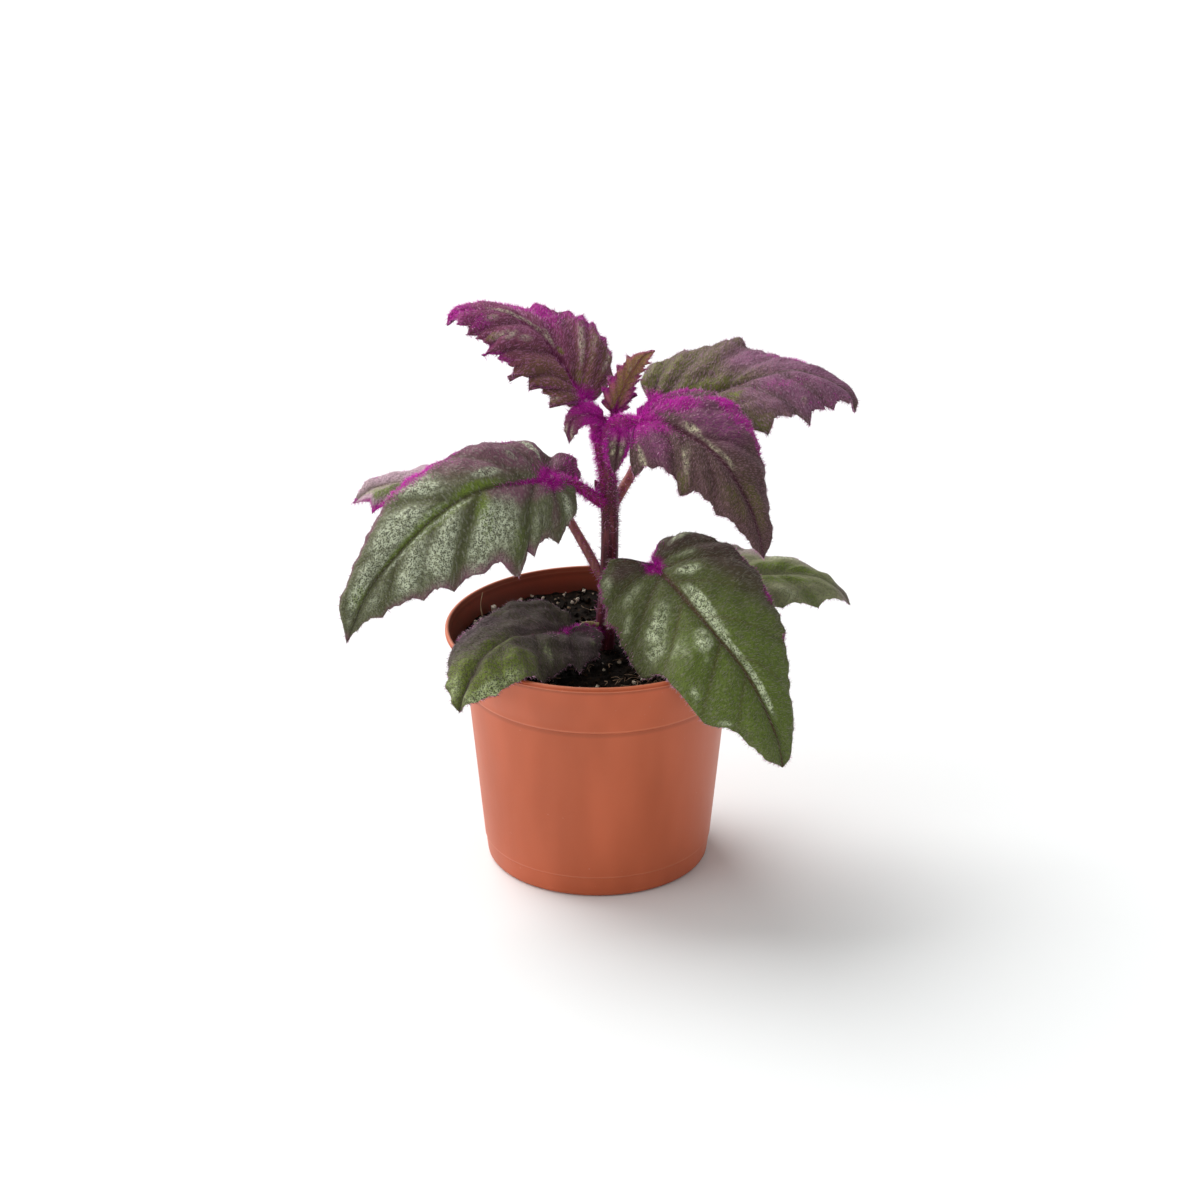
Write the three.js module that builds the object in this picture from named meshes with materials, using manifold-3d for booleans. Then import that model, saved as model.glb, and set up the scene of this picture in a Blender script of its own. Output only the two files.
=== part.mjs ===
// A purple passion plant, about 23 cm tall, growing in a 12 cm plastic nursery pot.
// Millimetres, +Z up. The origin is the middle of the pot's foot, on the surface it stands on.
// The viewer stands at -Y, with +X to the right.
import * as THREE from 'three';
import { mergeVertices } from 'three/addons/utils/BufferGeometryUtils.js';
import Module from 'manifold-3d';

const wasm = await Module();
wasm.setup();

// Pot
const POT_HEIGHT = 97.5;
const RIM_RADIUS = 60;
const FOOT_RADIUS = 43.8;
const FOOT_ROUNDING = 1.6;
const WALL = 1.1;
const BASE_THICKNESS = 1.6;
const LIP_HEIGHT = 1.9;
const LIP_WIDTH = 1.6;
const COLLAR_BOTTOM = 75.25;
const COLLAR_FOOT_RADIUS = 52.2;
const COLLAR_STEP = 0.6;
const COLLAR_STEP_HEIGHT = 1.1;
const DRAIN_HOLES = 6;
const DRAIN_RADIUS = 4;
const DRAIN_CIRCLE = 28;
const POT_SIDES = 54;

// Soil
const SOIL_TOP = 88.5;
const SOIL_BUMP = 0.7;
const SOIL_SIDES = 36;
const FACET_ALLOWANCE = 0.3;
const GAP = 0.3;

// Stem
const STEM_FOOT = 64;
const STEM_BASE_RADIUS = 3.5;
const STEM_TOP_RADIUS = 2.9;
const BUD_LENGTH = 5;
const BUD_RADIUS = 1.4;

// Leaves
const BLADE_THICKNESS = 0.9;
const BLADE_COLUMNS = 3;
const PETIOLE_SIDES = 8;
const PETIOLE_STEPS = 14;
const RIB_END_RADIUS = 0.55;
const ROW_SPACING = 0.028;
const SMALLEST_ROW = 1.6;

const COLOURS = {
  pot: 0xb45c40,
  soil: 0x17110e,
  stem: 0x4a1830,
  green: 0x4d5a3c,
  olive: 0x55503a,
  purple: 0x5c2f50,
  perlite: 0xc9bfae,
  root: 0xa98f74,
  dry: 0x8d8a3a,
};

const point = (list) => new THREE.Vector3(...list);
const curve = (list) => new THREE.CatmullRomCurve3(list.map(point), false, 'centripetal');
const lerp = THREE.MathUtils.lerp;
const clamp = THREE.MathUtils.clamp;

// Each leaf: petiole, from the middle of the stem to the blade. rib, from there to the tip.
// left and right: the two margins, from beside the petiole towards the tip. The teeth are
// [place along the margin from 0 to 1, height]. face is the side that looks up.
const LEAVES = {
  leaf_middle_left: {
    colour: 'green',
    petioleRadius: 2.3,
    face: [-0.3, -0.5, 0.8],
    petiole: [[2, -2, 150], [-9.5, -8, 160], [-18.5, -10, 162.5]],
    rib: [[-18.5, -10, 162.5], [-44.5, -26, 164.5], [-59.5, -33, 158], [-74.5, -39, 145],
      [-86, -45, 132], [-95, -50, 112]],
    left: [[-17, -9, 162.5], [-11.5, -8, 161.5], [-8.5, -11, 156.5], [-10.5, -18, 150],
      [-15.5, -26, 147], [-22, -30, 145.5], [-29.5, -34, 141], [-37, -37, 140.5],
      [-44.5, -40, 137], [-67, -46, 130.5], [-90.5, -49, 118.5]],
    leftTeeth: [[0.15, 1.3], [0.26, 3.9], [0.32, 0.8], [0.36, 3.5], [0.41, 7.6], [0.52, 1.1],
      [0.62, 3.7], [0.72, 2.9], [0.79, 0.8], [0.85, 2.1], [0.94, 1]],
    right: [[-17.5, -6, 162.5], [-11.5, 1, 160.5], [-9.5, 6, 162.5], [-19.5, 8, 165.5],
      [-26, 6, 170], [-41, -2, 174], [-48.5, -6, 174], [-77, -22, 161.5],
      [-85.5, -32, 149.5], [-93.5, -43, 135], [-96.5, -47, 124.5]],
    rightTeeth: [[0.08, 3.5], [0.12, 1.6], [0.25, 1.5], [0.31, 0.8], [0.38, 0.8], [0.5, 0.8],
      [0.62, 0.8], [0.73, 0.8], [0.81, 0.8], [0.89, 0.8]],
  },
  leaf_middle_left_back: {
    colour: 'olive',
    petioleRadius: 1.9,
    face: [-0.2, -0.3, 1],
    petiole: [[1.5, 1, 117.5], [-3.5, 5, 126], [-10.5, 9, 137.5], [-15.5, 12, 145.5],
      [-20, 12, 151]],
    rib: [[-20, 12, 151], [-38, 16, 152], [-77.5, 20, 149.5], [-88.5, 21, 146],
      [-96, 22, 140]],
    left: [[-19, 10, 149.5], [-24, 4, 145], [-37.5, 0, 142.5], [-53, 0, 143], [-67, 4, 144],
      [-88.5, 17, 142.5]],
    leftTeeth: [[0.19, 2.8], [0.36, 2.4], [0.53, 2.7], [0.7, 3.4], [0.88, 5.2]],
    right: [[-19.5, 15, 151.5], [-24.5, 26, 153], [-36.5, 33, 154], [-50.5, 35, 152.5],
      [-74, 30, 149], [-91.5, 24, 146]],
    rightTeeth: [[0.25, 2.1], [0.4, 1.2], [0.55, 1.4], [0.67, 0.8], [0.79, 0.8], [0.9, 0.8]],
  },
  leaf_upper_left: {
    colour: 'purple',
    petioleRadius: 2.5,
    face: [0.1, -0.5, 0.9],
    petiole: [[1.5, 0, 175], [0, 0, 181.5], [-5, -2, 191.5]],
    rib: [[-5, -2, 191.5], [-16, 7, 205], [-22, 9, 213.5], [-30.5, 9, 220], [-41, 6, 224.5],
      [-50, 1, 226], [-57, -4, 223.5]],
    left: [[-6.5, -5, 191.5], [-15.5, -12, 196], [-20.5, -14, 201.5], [-31.5, -15, 210],
      [-35, -14, 215], [-45, -10, 222.5], [-53, -5, 226.5]],
    leftTeeth: [[0.08, 1.7], [0.19, 4.3], [0.27, 1.5], [0.35, 4.5], [0.48, 6.2], [0.54, 0.8],
      [0.6, 3.4], [0.65, 6.8], [0.73, 0.8], [0.8, 2.8], [0.88, 2.1]],
    right: [[-3.5, 2, 190.5], [1, 10, 191], [4.5, 18, 195.5], [1, 25, 207.5],
      [-7.5, 26, 216], [-22, 26, 220], [-30, 24, 220.5], [-45, 16, 224], [-55.5, 2, 225.5]],
    rightTeeth: [[0.17, 0.8], [0.25, 1.7], [0.28, 2.8], [0.35, 1.3], [0.39, 2], [0.44, 1.1],
      [0.55, 1.5], [0.69, 1.3], [0.83, 0.8]],
    auricle: {
      rib: [[-3.5, -5, 188], [-8, -8, 187], [-10.5, -9, 182], [-10, -9, 177]],
      left: [[-7, -6, 190.5], [-11, -9, 187], [-12, -10, 181.5]],
      leftTeeth: [[0.3, 0.6], [0.6, 0.6]],
      right: [[-3, -6, 185.5], [-6.5, -8, 183.5], [-8, -9, 180.5]],
      rightTeeth: [[0.4, 0.6], [0.7, 0.6]],
    },
  },
  leaf_young_top: {
    colour: 'purple',
    petioleRadius: 1.2,
    face: [-0.5, -0.8, 0.3],
    petiole: [[3.5, 1, 177], [5, 4, 181], [6.5, 5, 184]],
    rib: [[6.5, 5, 184], [8, 6, 190], [14.5, 7, 202.5], [20.5, 5, 209]],
    left: [[5, 4, 186], [3.5, 3, 191], [5, 3, 196], [15.5, 5, 208.5]],
    leftTeeth: [[0.12, 1.3], [0.24, 1.6], [0.38, 1.7], [0.53, 1.4], [0.68, 1.3]],
    right: [[8.5, 6, 183.5], [11, 8, 187], [12.5, 9, 191], [16.5, 8, 201]],
    rightTeeth: [[0.06, 1.4], [0.15, 3.3], [0.31, 3.5], [0.53, 2.5], [0.68, 1], [0.87, 0.8]],
  },
  leaf_upper_right_back: {
    colour: 'olive',
    petioleRadius: 2,
    face: [0.1, -0.4, 1],
    petiole: [[6.5, 3, 147.5], [15, 13, 159.5], [18.5, 18, 168], [21, 20, 182.5]],
    rib: [[21, 20, 182.5], [43.5, 18, 186.5], [64.5, 16, 195], [78, 15, 197.5],
      [96.5, 11, 190], [99.5, 9, 183]],
    left: [[19.5, 25, 183], [19, 33, 187.5], [23, 40, 190.5], [44, 46, 195.5],
      [53, 45, 198.5], [60, 41, 196.5], [79, 30, 194.5], [100, 11, 187.5]],
    leftTeeth: [[0.03, 1.8], [0.13, 1.1], [0.26, 2.4], [0.41, 1.8], [0.44, 1.2],
      [0.66, 1.4], [0.84, 0.8]],
    right: [[22.5, 14, 181], [29, 8, 178], [37.5, 3, 177], [64, -3, 183], [71, -2, 186.5],
      [78.5, 0, 186], [96.5, 8, 188.5]],
    rightTeeth: [[0.2, 1.7], [0.37, 2.9], [0.52, 5.4], [0.66, 2.6], [0.72, 5.8], [0.8, 1.2],
      [0.85, 3], [0.94, 1.7]],
  },
  leaf_upper_right_front: {
    colour: 'purple',
    petioleRadius: 2.3,
    face: [0.4, -0.6, 0.8],
    petiole: [[3.5, -2, 174], [5.5, -6, 182.5], [11.5, -10, 186.5], [19, -14, 187]],
    rib: [[19, -14, 187], [25.5, -18, 188.5], [45.5, -32, 180], [56.5, -40, 164.5],
      [60, -44, 156], [62.5, -47, 145.5]],
    left: [[18, -10, 188.5], [17.5, -4, 190.5], [22, 0, 192.5], [35.5, 2, 194.5],
      [42, 0, 195.5], [55, -9, 189], [60.5, -21, 178.5], [62, -26, 172], [64, -38, 158.5],
      [64.5, -43, 150.5]],
    leftTeeth: [[0.05, 1.1], [0.13, 0.8], [0.21, 1.9], [0.31, 1.3], [0.41, 0.8], [0.58, 1],
      [0.65, 1.4], [0.8, 0.8], [0.89, 0.8]],
    right: [[17, -16, 185.5], [14, -20, 183], [15.5, -26, 176], [26.5, -33, 176.5],
      [32, -38, 171], [38.5, -40, 169.5], [44.5, -43, 164.5], [51.5, -45, 159]],
    rightTeeth: [[0.21, 5.2], [0.27, 2.2], [0.38, 1.4], [0.48, 3.6], [0.6, 1], [0.68, 2.1],
      [0.82, 0.9], [0.92, 0.8]],
    auricle: {
      rib: [[7, -9, 183], [6.5, -10, 176], [7, -10, 165.5]],
      left: [[10.5, -10, 184], [12.5, -10, 178], [9.5, -10, 170]],
      leftTeeth: [[0.3, 0.6], [0.6, 0.6]],
      right: [[3.5, -8, 182], [2.5, -9, 176], [4.5, -10, 169]],
      rightTeeth: [[0.3, 0.6], [0.6, 0.6]],
    },
  },
  leaf_lower_right_front: {
    colour: 'green',
    petioleRadius: 2.3,
    face: [0.25, -0.6, 0.8],
    petiole: [[4.5, -1, 102], [9.5, -3, 110], [16.5, -8, 121], [22, -13, 127.5]],
    rib: [[22, -13, 127.5], [28.5, -22, 124.5], [46.5, -43, 110], [55, -50, 101.5],
      [62.5, -56, 89.5], [68.5, -60, 75.5], [70.5, -62, 65.5]],
    left: [[22.5, -9, 128.5], [24, -6, 131.5], [28, -4, 135.5], [44.5, -6, 136],
      [59.5, -18, 129], [65.5, -26, 120], [69.5, -33, 114], [71, -40, 105.5],
      [73.5, -57, 74.5], [72, -60, 67.5]],
    leftTeeth: [[0.09, 0.8], [0.16, 1.1], [0.26, 1], [0.4, 0.8], [0.48, 0.8], [0.59, 0.8],
      [0.69, 0.8], [0.8, 0.8], [0.88, 0.8]],
    right: [[19.5, -15, 129.5], [12.5, -13, 130.5], [5.5, -12, 129], [2, -14, 123.5],
      [2, -18, 116], [9.5, -28, 103.5], [13.5, -34, 96.5], [19.5, -38, 94.5],
      [24, -46, 97.5], [27, -53.5, 98.5], [36, -60, 90.5], [43.5, -62, 84.5],
      [51, -62.5, 82], [65, -62.5, 69.5]],
    rightTeeth: [[0.1, 1.4], [0.17, 0.8], [0.28, 2.9], [0.35, 0.8], [0.45, 3], [0.74, 1.9],
      [0.88, 0.9], [0.94, 0.8]],
  },
  leaf_lower_right_back: {
    colour: 'green',
    petioleRadius: 2,
    face: [0.1, -0.3, 1],
    petiole: [[5.5, 2, 100.5], [26.5, 9, 107], [36.5, 12, 107]],
    rib: [[36.5, 12, 107], [56, 15, 111], [86, 15, 111], [94, 15, 106.5], [100, 15, 99.5]],
    left: [[36.5, 15, 109], [38, 22, 113], [43, 28, 116.5], [52, 30, 118.5],
      [60.5, 31, 115], [69.5, 30, 113], [78.5, 27, 113], [98, 16, 103.5]],
    leftTeeth: [[0.13, 1.9], [0.26, 0.8], [0.44, 0.8], [0.65, 0.8], [0.86, 0.8]],
    right: [[36.5, 10, 106], [40.5, 6, 103], [48, 3, 101.5], [58, 2, 102.5],
      [73.5, 3, 105.5], [81.5, 5, 104.5], [95, 12, 103.5]],
    rightTeeth: [[0.14, 1.5], [0.29, 1.5], [0.54, 2.4], [0.74, 3], [0.91, 1]],
  },
  leaf_lower_left_front: {
    colour: 'green',
    petioleRadius: 1.7,
    face: [-0.2, -0.2, 1],
    petiole: [[1.5, -2, 94.5], [-3, -6, 98], [-12, -12, 99.5]],
    rib: [[-12, -12, 99.5], [-22, -22, 103.5], [-33, -32, 105.5], [-41, -41, 104.5],
      [-47.5, -49, 98], [-52.5, -54, 85]],
    left: [[-9, -13, 99], [-3.5, -13, 102], [1, -16, 99], [0, -21, 95], [-5, -27, 93],
      [-12, -34, 95.5], [-17.5, -43, 95], [-22.5, -50, 98.5], [-28.5, -54, 98.8],
      [-41.5, -57, 93], [-48.5, -56, 89.5]],
    leftTeeth: [[0.12, 1.5], [0.22, 1.2], [0.33, 2.9], [0.43, 0.8], [0.58, 2], [0.7, 0.8],
      [0.81, 1.6], [0.89, 0.8]],
    right: [[-11.5, -9, 100], [-12.5, -6, 104], [-23.5, 0, 106.5], [-37, -2, 105],
      [-48, -13, 101], [-53, -22, 100], [-56.5, -34, 96], [-55.5, -51, 88]],
    rightTeeth: [[0.06, 0.8], [0.16, 0.8], [0.26, 0.8], [0.35, 0.8], [0.44, 1.3],
      [0.58, 1.1], [0.8, 0.8]],
  },
};

// The first part of each margin fans out from the end of the petiole.
const FAN = 0.3;
const CAMBER = 0.12;
const VEIN_SWEEP = 0.1;
const TOOTH_LEAN = 0.35;
const TOOTH_POWER = 1.7;

const STEM_PATH = [
  [2.5, 0, STEM_FOOT], [3, 0, 85.5], [3.5, 0, 103.5], [4.5, 0, 121], [4.5, 0, 151.5],
  [3, 0, 167], [1.5, 0, 179],
];

// White grains of the potting mix: across, back and radius.
const PERLITE = [
  [-31, 42.5, 1.2], [-26.5, 45.5, 0.9], [-22, 44.5, 0.8], [-13.5, 48, 0.7], [-5.5, 51.5, 1],
  [-8, 42.5, 1.2], [-10.2, 40, 0.9], [-16, 39.5, 0.8], [-11.5, 34.5, 0.8], [-41.5, 32.5, 1.5],
  [-48.5, 19.5, 1.3], [-46.5, 23.5, 0.9], [8.5, -17.5, 1.1], [20.5, -31, 1.5],
  [17.5, -34.2, 1.2], [14, -37.5, 1.1], [2.5, -26, 0.8], [0, -41.5, 0.9],
];

const ROOT_FIBRE = [[-46, 26, 89.5], [-46.6, 27, 94], [-45.8, 28, 99]];
const DRIED_STRAND = [[0.4, -4.4, 99.2], [-3, -4.6, 100.3], [-6, -6, 100.6], [-8.4, -6.8, 98]];
const STRAND_RADIUS = 0.3;
const STRAND_STEPS = 8;
const STRAND_SIDES = 6;

function toSolid(geometry) {
  const bare = geometry.clone();
  bare.deleteAttribute('normal');
  bare.deleteAttribute('uv');
  const merged = mergeVertices(bare, 1e-4);
  return new wasm.Manifold(new wasm.Mesh({
    numProp: 3,
    vertProperties: new Float32Array(merged.attributes.position.array),
    triVerts: new Uint32Array(merged.index.array),
  }));
}

function fromSolid(solid) {
  const mesh = solid.getMesh();
  const geometry = new THREE.BufferGeometry();
  geometry.setAttribute('position', new THREE.BufferAttribute(mesh.vertProperties, 3));
  geometry.setIndex(new THREE.BufferAttribute(mesh.triVerts, 1));
  geometry.computeVertexNormals();
  return geometry;
}

// A round rod along a path whose radius goes from one value to another.
function taperedRod(path, startRadius, endRadius, steps, sides) {
  const outline = new THREE.Shape();
  outline.absarc(0, 0, 1, 0, Math.PI * 2);
  const rod = new THREE.ExtrudeGeometry(outline, {
    steps,
    extrudePath: path,
    curveSegments: sides / 2,
    bevelEnabled: false,
  });
  const centres = path.getSpacedPoints(steps);
  const position = rod.attributes.position;
  const vertex = new THREE.Vector3();
  for (let i = 0; i < position.count; i += 1) {
    vertex.fromBufferAttribute(position, i);
    const distances = centres.map((centre) => centre.distanceTo(vertex));
    const ring = distances.indexOf(Math.min(...distances));
    const radius = lerp(startRadius, endRadius, ring / steps);
    vertex.sub(centres[ring]).multiplyScalar(radius).add(centres[ring]);
    position.setXYZ(i, vertex.x, vertex.y, vertex.z);
  }
  return rod;
}

function toothHeight(teeth, place) {
  let height = 0;
  teeth.forEach(([at, size], i) => {
    const before = i > 0 ? (teeth[i - 1][0] + at) / 2 : Math.max(at - 0.05, 0);
    const after = i < teeth.length - 1 ? (teeth[i + 1][0] + at) / 2 : Math.min(at + 0.04, 0.99);
    if (place <= before || place >= after) return;
    const share = place < at ? (place - before) / (at - before) : (after - place) / (after - at);
    height = size * share ** TOOTH_POWER;
  });
  return height;
}

// One point of the blade: along runs from the petiole to the tip, out from the rib to the margin.
function bladePoint(leaf, side, along, out) {
  const margin = side === 'left' ? leaf.leftCurve : leaf.rightCurve;
  const teeth = side === 'left' ? leaf.leftTeeth : leaf.rightTeeth;
  const ribPlace = clamp((along - FAN) / (1 - FAN), 0, 1);
  const start = leaf.ribCurve.getPointAt(ribPlace);
  const forward = leaf.ribCurve.getTangentAt(ribPlace);
  const edge = margin.getPointAt(along);
  const edgeway = margin.getTangentAt(along);
  const across = edge.clone().sub(start);
  const span = across.length();
  const outward = across.clone().addScaledVector(edgeway, -across.dot(edgeway)).normalize();
  const tooth = toothHeight(teeth, along);
  edge.addScaledVector(outward, tooth).addScaledVector(edgeway, tooth * TOOTH_LEAN);
  const up = point(leaf.face).normalize();
  up.addScaledVector(forward, -up.dot(forward)).normalize();
  const arch = 4 * out * (1 - out) * clamp((1 - along) / 0.08, 0, 1);
  return start.clone().lerp(edge, out)
    .addScaledVector(forward, -VEIN_SWEEP * span * out * (1 - out))
    .addScaledVector(up, CAMBER * span * arch);
}

function bladeRows(leaf) {
  const spacing = Math.max(ROW_SPACING, SMALLEST_ROW / leaf.ribCurve.getLength());
  const places = [0];
  const wanted = [1];
  [leaf.leftTeeth, leaf.rightTeeth].forEach((teeth) => teeth.forEach(([at], i) => {
    wanted.push(at);
    if (i > 0) wanted.push((teeth[i - 1][0] + at) / 2);
  }));
  wanted.push(FAN);
  wanted.sort((a, b) => a - b);
  wanted.forEach((at) => {
    if (at - places[places.length - 1] > spacing) places.push(at);
  });
  places[places.length - 1] = 1;
  return places;
}

// The blade as a thin closed solid: an upper and a lower skin joined round the edge.
function bladeSolid(leaf) {
  leaf.ribCurve = curve(leaf.rib);
  const tip = leaf.rib[leaf.rib.length - 1];
  leaf.leftCurve = curve([...leaf.left, tip]);
  leaf.rightCurve = curve([...leaf.right, tip]);
  const rows = bladeRows(leaf);
  const points = [];
  const triangles = [];
  const ribIndex = rows.map((along, i) => {
    if (i > 0 && along <= FAN) return 0;
    points.push(bladePoint(leaf, 'left', along, 0));
    return points.length - 1;
  });
  const last = rows.length - 1;
  ['left', 'right'].forEach((side) => {
    const grid = rows.map((along, i) => {
      const line = [ribIndex[i]];
      for (let column = 1; column <= BLADE_COLUMNS; column += 1) {
        if (i === last) {
          line.push(ribIndex[last]);
        } else {
          points.push(bladePoint(leaf, side, along, column / BLADE_COLUMNS));
          line.push(points.length - 1);
        }
      }
      return line;
    });
    const add = (a, b, c) => {
      if (a === b || b === c || c === a) return;
      triangles.push(side === 'left' ? [a, b, c] : [a, c, b]);
    };
    for (let i = 0; i < last; i += 1) {
      for (let k = 0; k < BLADE_COLUMNS; k += 1) {
        add(grid[i][k], grid[i + 1][k], grid[i + 1][k + 1]);
        add(grid[i][k], grid[i + 1][k + 1], grid[i][k + 1]);
      }
    }
  });
  const skin = new THREE.BufferGeometry();
  const places = points.flatMap((place) => place.toArray());
  skin.setAttribute('position', new THREE.Float32BufferAttribute(places, 3));
  skin.setIndex(triangles.flat());
  skin.computeVertexNormals();
  const normals = skin.attributes.normal;
  const upper = [];
  const lower = [];
  points.forEach((place, i) => {
    const normal = new THREE.Vector3().fromBufferAttribute(normals, i);
    upper.push(...place.clone().addScaledVector(normal, BLADE_THICKNESS / 2).toArray());
    lower.push(...place.clone().addScaledVector(normal, -BLADE_THICKNESS / 2).toArray());
  });
  const count = points.length;
  const edges = new Set(triangles.flatMap(([a, b, c]) => [`${a},${b}`, `${b},${c}`, `${c},${a}`]));
  const faces = triangles.flatMap(([a, b, c]) => [a, b, c, a + count, c + count, b + count]);
  edges.forEach((edge) => {
    const [a, b] = edge.split(',').map(Number);
    if (edges.has(`${b},${a}`)) return;
    faces.push(b, a, a + count, b, a + count, b + count);
  });
  const blade = new THREE.BufferGeometry();
  blade.setAttribute('position', new THREE.Float32BufferAttribute([...upper, ...lower], 3));
  blade.setIndex(faces);
  return toSolid(blade);
}

// The leaf stalk, running on under the blade as the raised middle vein.
function petioleSolid(leaf, radius) {
  const under = point(leaf.face).normalize().multiplyScalar(-0.5 * radius);
  const ribPath = curve(leaf.rib);
  const onRib = [0.12, 0.28, 0.45, 0.6].map((at) => ribPath.getPointAt(at)
    .addScaledVector(under, 1 - at));
  const stalk = leaf.petiole.map(point);
  stalk[stalk.length - 1].add(under);
  const path = new THREE.CatmullRomCurve3([...stalk, ...onRib], false, 'centripetal');
  return toSolid(taperedRod(path, radius, RIB_END_RADIUS, PETIOLE_STEPS, PETIOLE_SIDES));
}

// The largest closed skin, without any pocket or crumb that a join leaves.
function largestSkin(solid) {
  const skins = solid.decompose();
  return skins.reduce((best, skin) => (skin.volume() > best.volume() ? skin : best));
}

function leafGeometry(leaf, stemClearance) {
  let solid = bladeSolid(leaf).add(petioleSolid(leaf, leaf.petioleRadius));
  if (leaf.auricle) {
    solid = solid.add(bladeSolid({ ...leaf.auricle, face: [0, -1, 0.2] }));
  }
  return fromSolid(largestSkin(solid.subtract(stemClearance)));
}

function stemRod(extra) {
  const path = curve(STEM_PATH);
  path.points[0].z -= extra;
  path.points[path.points.length - 1].z += extra;
  return toSolid(taperedRod(path, STEM_BASE_RADIUS + extra, STEM_TOP_RADIUS + extra, 22, 12));
}

// The stem, with the small resting bud in the angle of the middle left leaf.
function mainStem() {
  const bud = new THREE.ConeGeometry(BUD_RADIUS, BUD_LENGTH, 8);
  bud.rotateX(Math.PI / 2);
  bud.rotateY(-0.5);
  bud.translate(0.2, 1.5, 155.5);
  return stemRod(0).add(toSolid(bud));
}

function potGeometry() {
  const lipBottom = POT_HEIGHT - LIP_HEIGHT;
  const collarTop = RIM_RADIUS - LIP_WIDTH + 0.6;
  const bodyTop = COLLAR_FOOT_RADIUS - COLLAR_STEP;
  const baseInside = FOOT_RADIUS - WALL;
  const outline = [
    [0, 0], [FOOT_RADIUS - FOOT_ROUNDING, 0], [FOOT_RADIUS - 0.4, 0.5],
    [FOOT_RADIUS, FOOT_ROUNDING],
    [bodyTop, COLLAR_BOTTOM - COLLAR_STEP_HEIGHT],
    [COLLAR_FOOT_RADIUS, COLLAR_BOTTOM], [COLLAR_FOOT_RADIUS + 1, COLLAR_BOTTOM + 2.4],
    [(COLLAR_FOOT_RADIUS + collarTop) / 2 + 0.3, (COLLAR_BOTTOM + lipBottom) / 2],
    [collarTop, lipBottom], [RIM_RADIUS - 0.3, lipBottom], [RIM_RADIUS, lipBottom + 0.5],
    [RIM_RADIUS, POT_HEIGHT - 0.4], [RIM_RADIUS - 0.4, POT_HEIGHT],
    [RIM_RADIUS - LIP_WIDTH, POT_HEIGHT],
    [collarTop - WALL - 0.2, lipBottom - 1],
    [COLLAR_FOOT_RADIUS - WALL, COLLAR_BOTTOM], [bodyTop - WALL, COLLAR_BOTTOM - 1.5],
    [baseInside, BASE_THICKNESS], [0, BASE_THICKNESS],
  ].map(([r, z]) => new THREE.Vector2(r, z));
  const body = new THREE.LatheGeometry(outline, POT_SIDES);
  body.rotateX(Math.PI / 2);
  let pot = toSolid(body);
  for (let i = 0; i < DRAIN_HOLES; i += 1) {
    const angle = (i / DRAIN_HOLES) * Math.PI * 2;
    const hole = new THREE.CylinderGeometry(DRAIN_RADIUS, DRAIN_RADIUS, 6, 12);
    hole.rotateX(Math.PI / 2);
    hole.translate(DRAIN_CIRCLE * Math.cos(angle), DRAIN_CIRCLE * Math.sin(angle), 1);
    pot = pot.subtract(toSolid(hole));
  }
  return fromSolid(pot);
}

function soilHeight(x, y) {
  const radius = Math.hypot(x, y);
  const bump = Math.sin(x * 0.31 + 1.3) * Math.cos(y * 0.27 - 0.6);
  return SOIL_TOP + SOIL_BUMP * bump * clamp((54 - radius) / 6, 0, 1);
}

function soilGeometry(stemClearance) {
  const bodyTop = COLLAR_FOOT_RADIUS - COLLAR_STEP;
  const inset = WALL + GAP + FACET_ALLOWANCE;
  const wallAtTop = lerp(COLLAR_FOOT_RADIUS, RIM_RADIUS - LIP_WIDTH + 0.6,
    (SOIL_TOP - COLLAR_BOTTOM) / (POT_HEIGHT - LIP_HEIGHT - COLLAR_BOTTOM));
  const outline = [
    [0, BASE_THICKNESS + GAP], [FOOT_RADIUS - inset - 0.3, BASE_THICKNESS + GAP],
    [bodyTop - inset, COLLAR_BOTTOM - 2.4], [COLLAR_FOOT_RADIUS - inset, COLLAR_BOTTOM],
    [wallAtTop - inset - 0.3, SOIL_TOP], [44, SOIL_TOP], [33, SOIL_TOP], [22, SOIL_TOP],
    [11, SOIL_TOP], [0, SOIL_TOP],
  ].map(([r, z]) => new THREE.Vector2(r, z));
  const body = new THREE.LatheGeometry(outline, SOIL_SIDES);
  body.rotateX(Math.PI / 2);
  const position = body.attributes.position;
  for (let i = 0; i < position.count; i += 1) {
    if (position.getZ(i) > SOIL_TOP - 0.01) {
      position.setZ(i, soilHeight(position.getX(i), position.getY(i)));
    }
  }
  return fromSolid(toSolid(body).subtract(stemClearance));
}

// The highest spot of the soil under a grain of this size.
function seatHeight(soil, x, y, size) {
  const down = new THREE.Vector3(0, 0, -1);
  const heights = [[0, 0], [1, 0], [-1, 0], [0, 1], [0, -1]].map(([dx, dy]) => {
    const above = new THREE.Vector3(x + dx * size, y + dy * size, POT_HEIGHT);
    const hit = new THREE.Raycaster(above, down).intersectObject(soil)[0];
    return hit ? hit.point.z : SOIL_TOP;
  });
  return Math.max(...heights);
}

function grainGeometry(soil, x, y, size, index) {
  const grain = new THREE.IcosahedronGeometry(size, 0);
  grain.scale(1, 0.75 + 0.05 * (index % 5), 0.7 + 0.06 * (index % 4));
  grain.rotateZ(index * 1.7);
  grain.rotateX(index * 0.9);
  grain.computeBoundingBox();
  grain.translate(x, y, seatHeight(soil, x, y, size) + GAP - grain.boundingBox.min.z);
  return grain;
}

function strandGeometry(points) {
  return taperedRod(curve(points), STRAND_RADIUS, STRAND_RADIUS, STRAND_STEPS, STRAND_SIDES);
}

const plant = new THREE.Group();

function addPiece(name, geometry, colour, roughness = 0.8) {
  const color = COLOURS[colour];
  const material = new THREE.MeshStandardMaterial({ color, roughness, metalness: 0 });
  const mesh = new THREE.Mesh(geometry, material);
  mesh.name = name;
  plant.add(mesh);
  return mesh;
}

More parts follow.
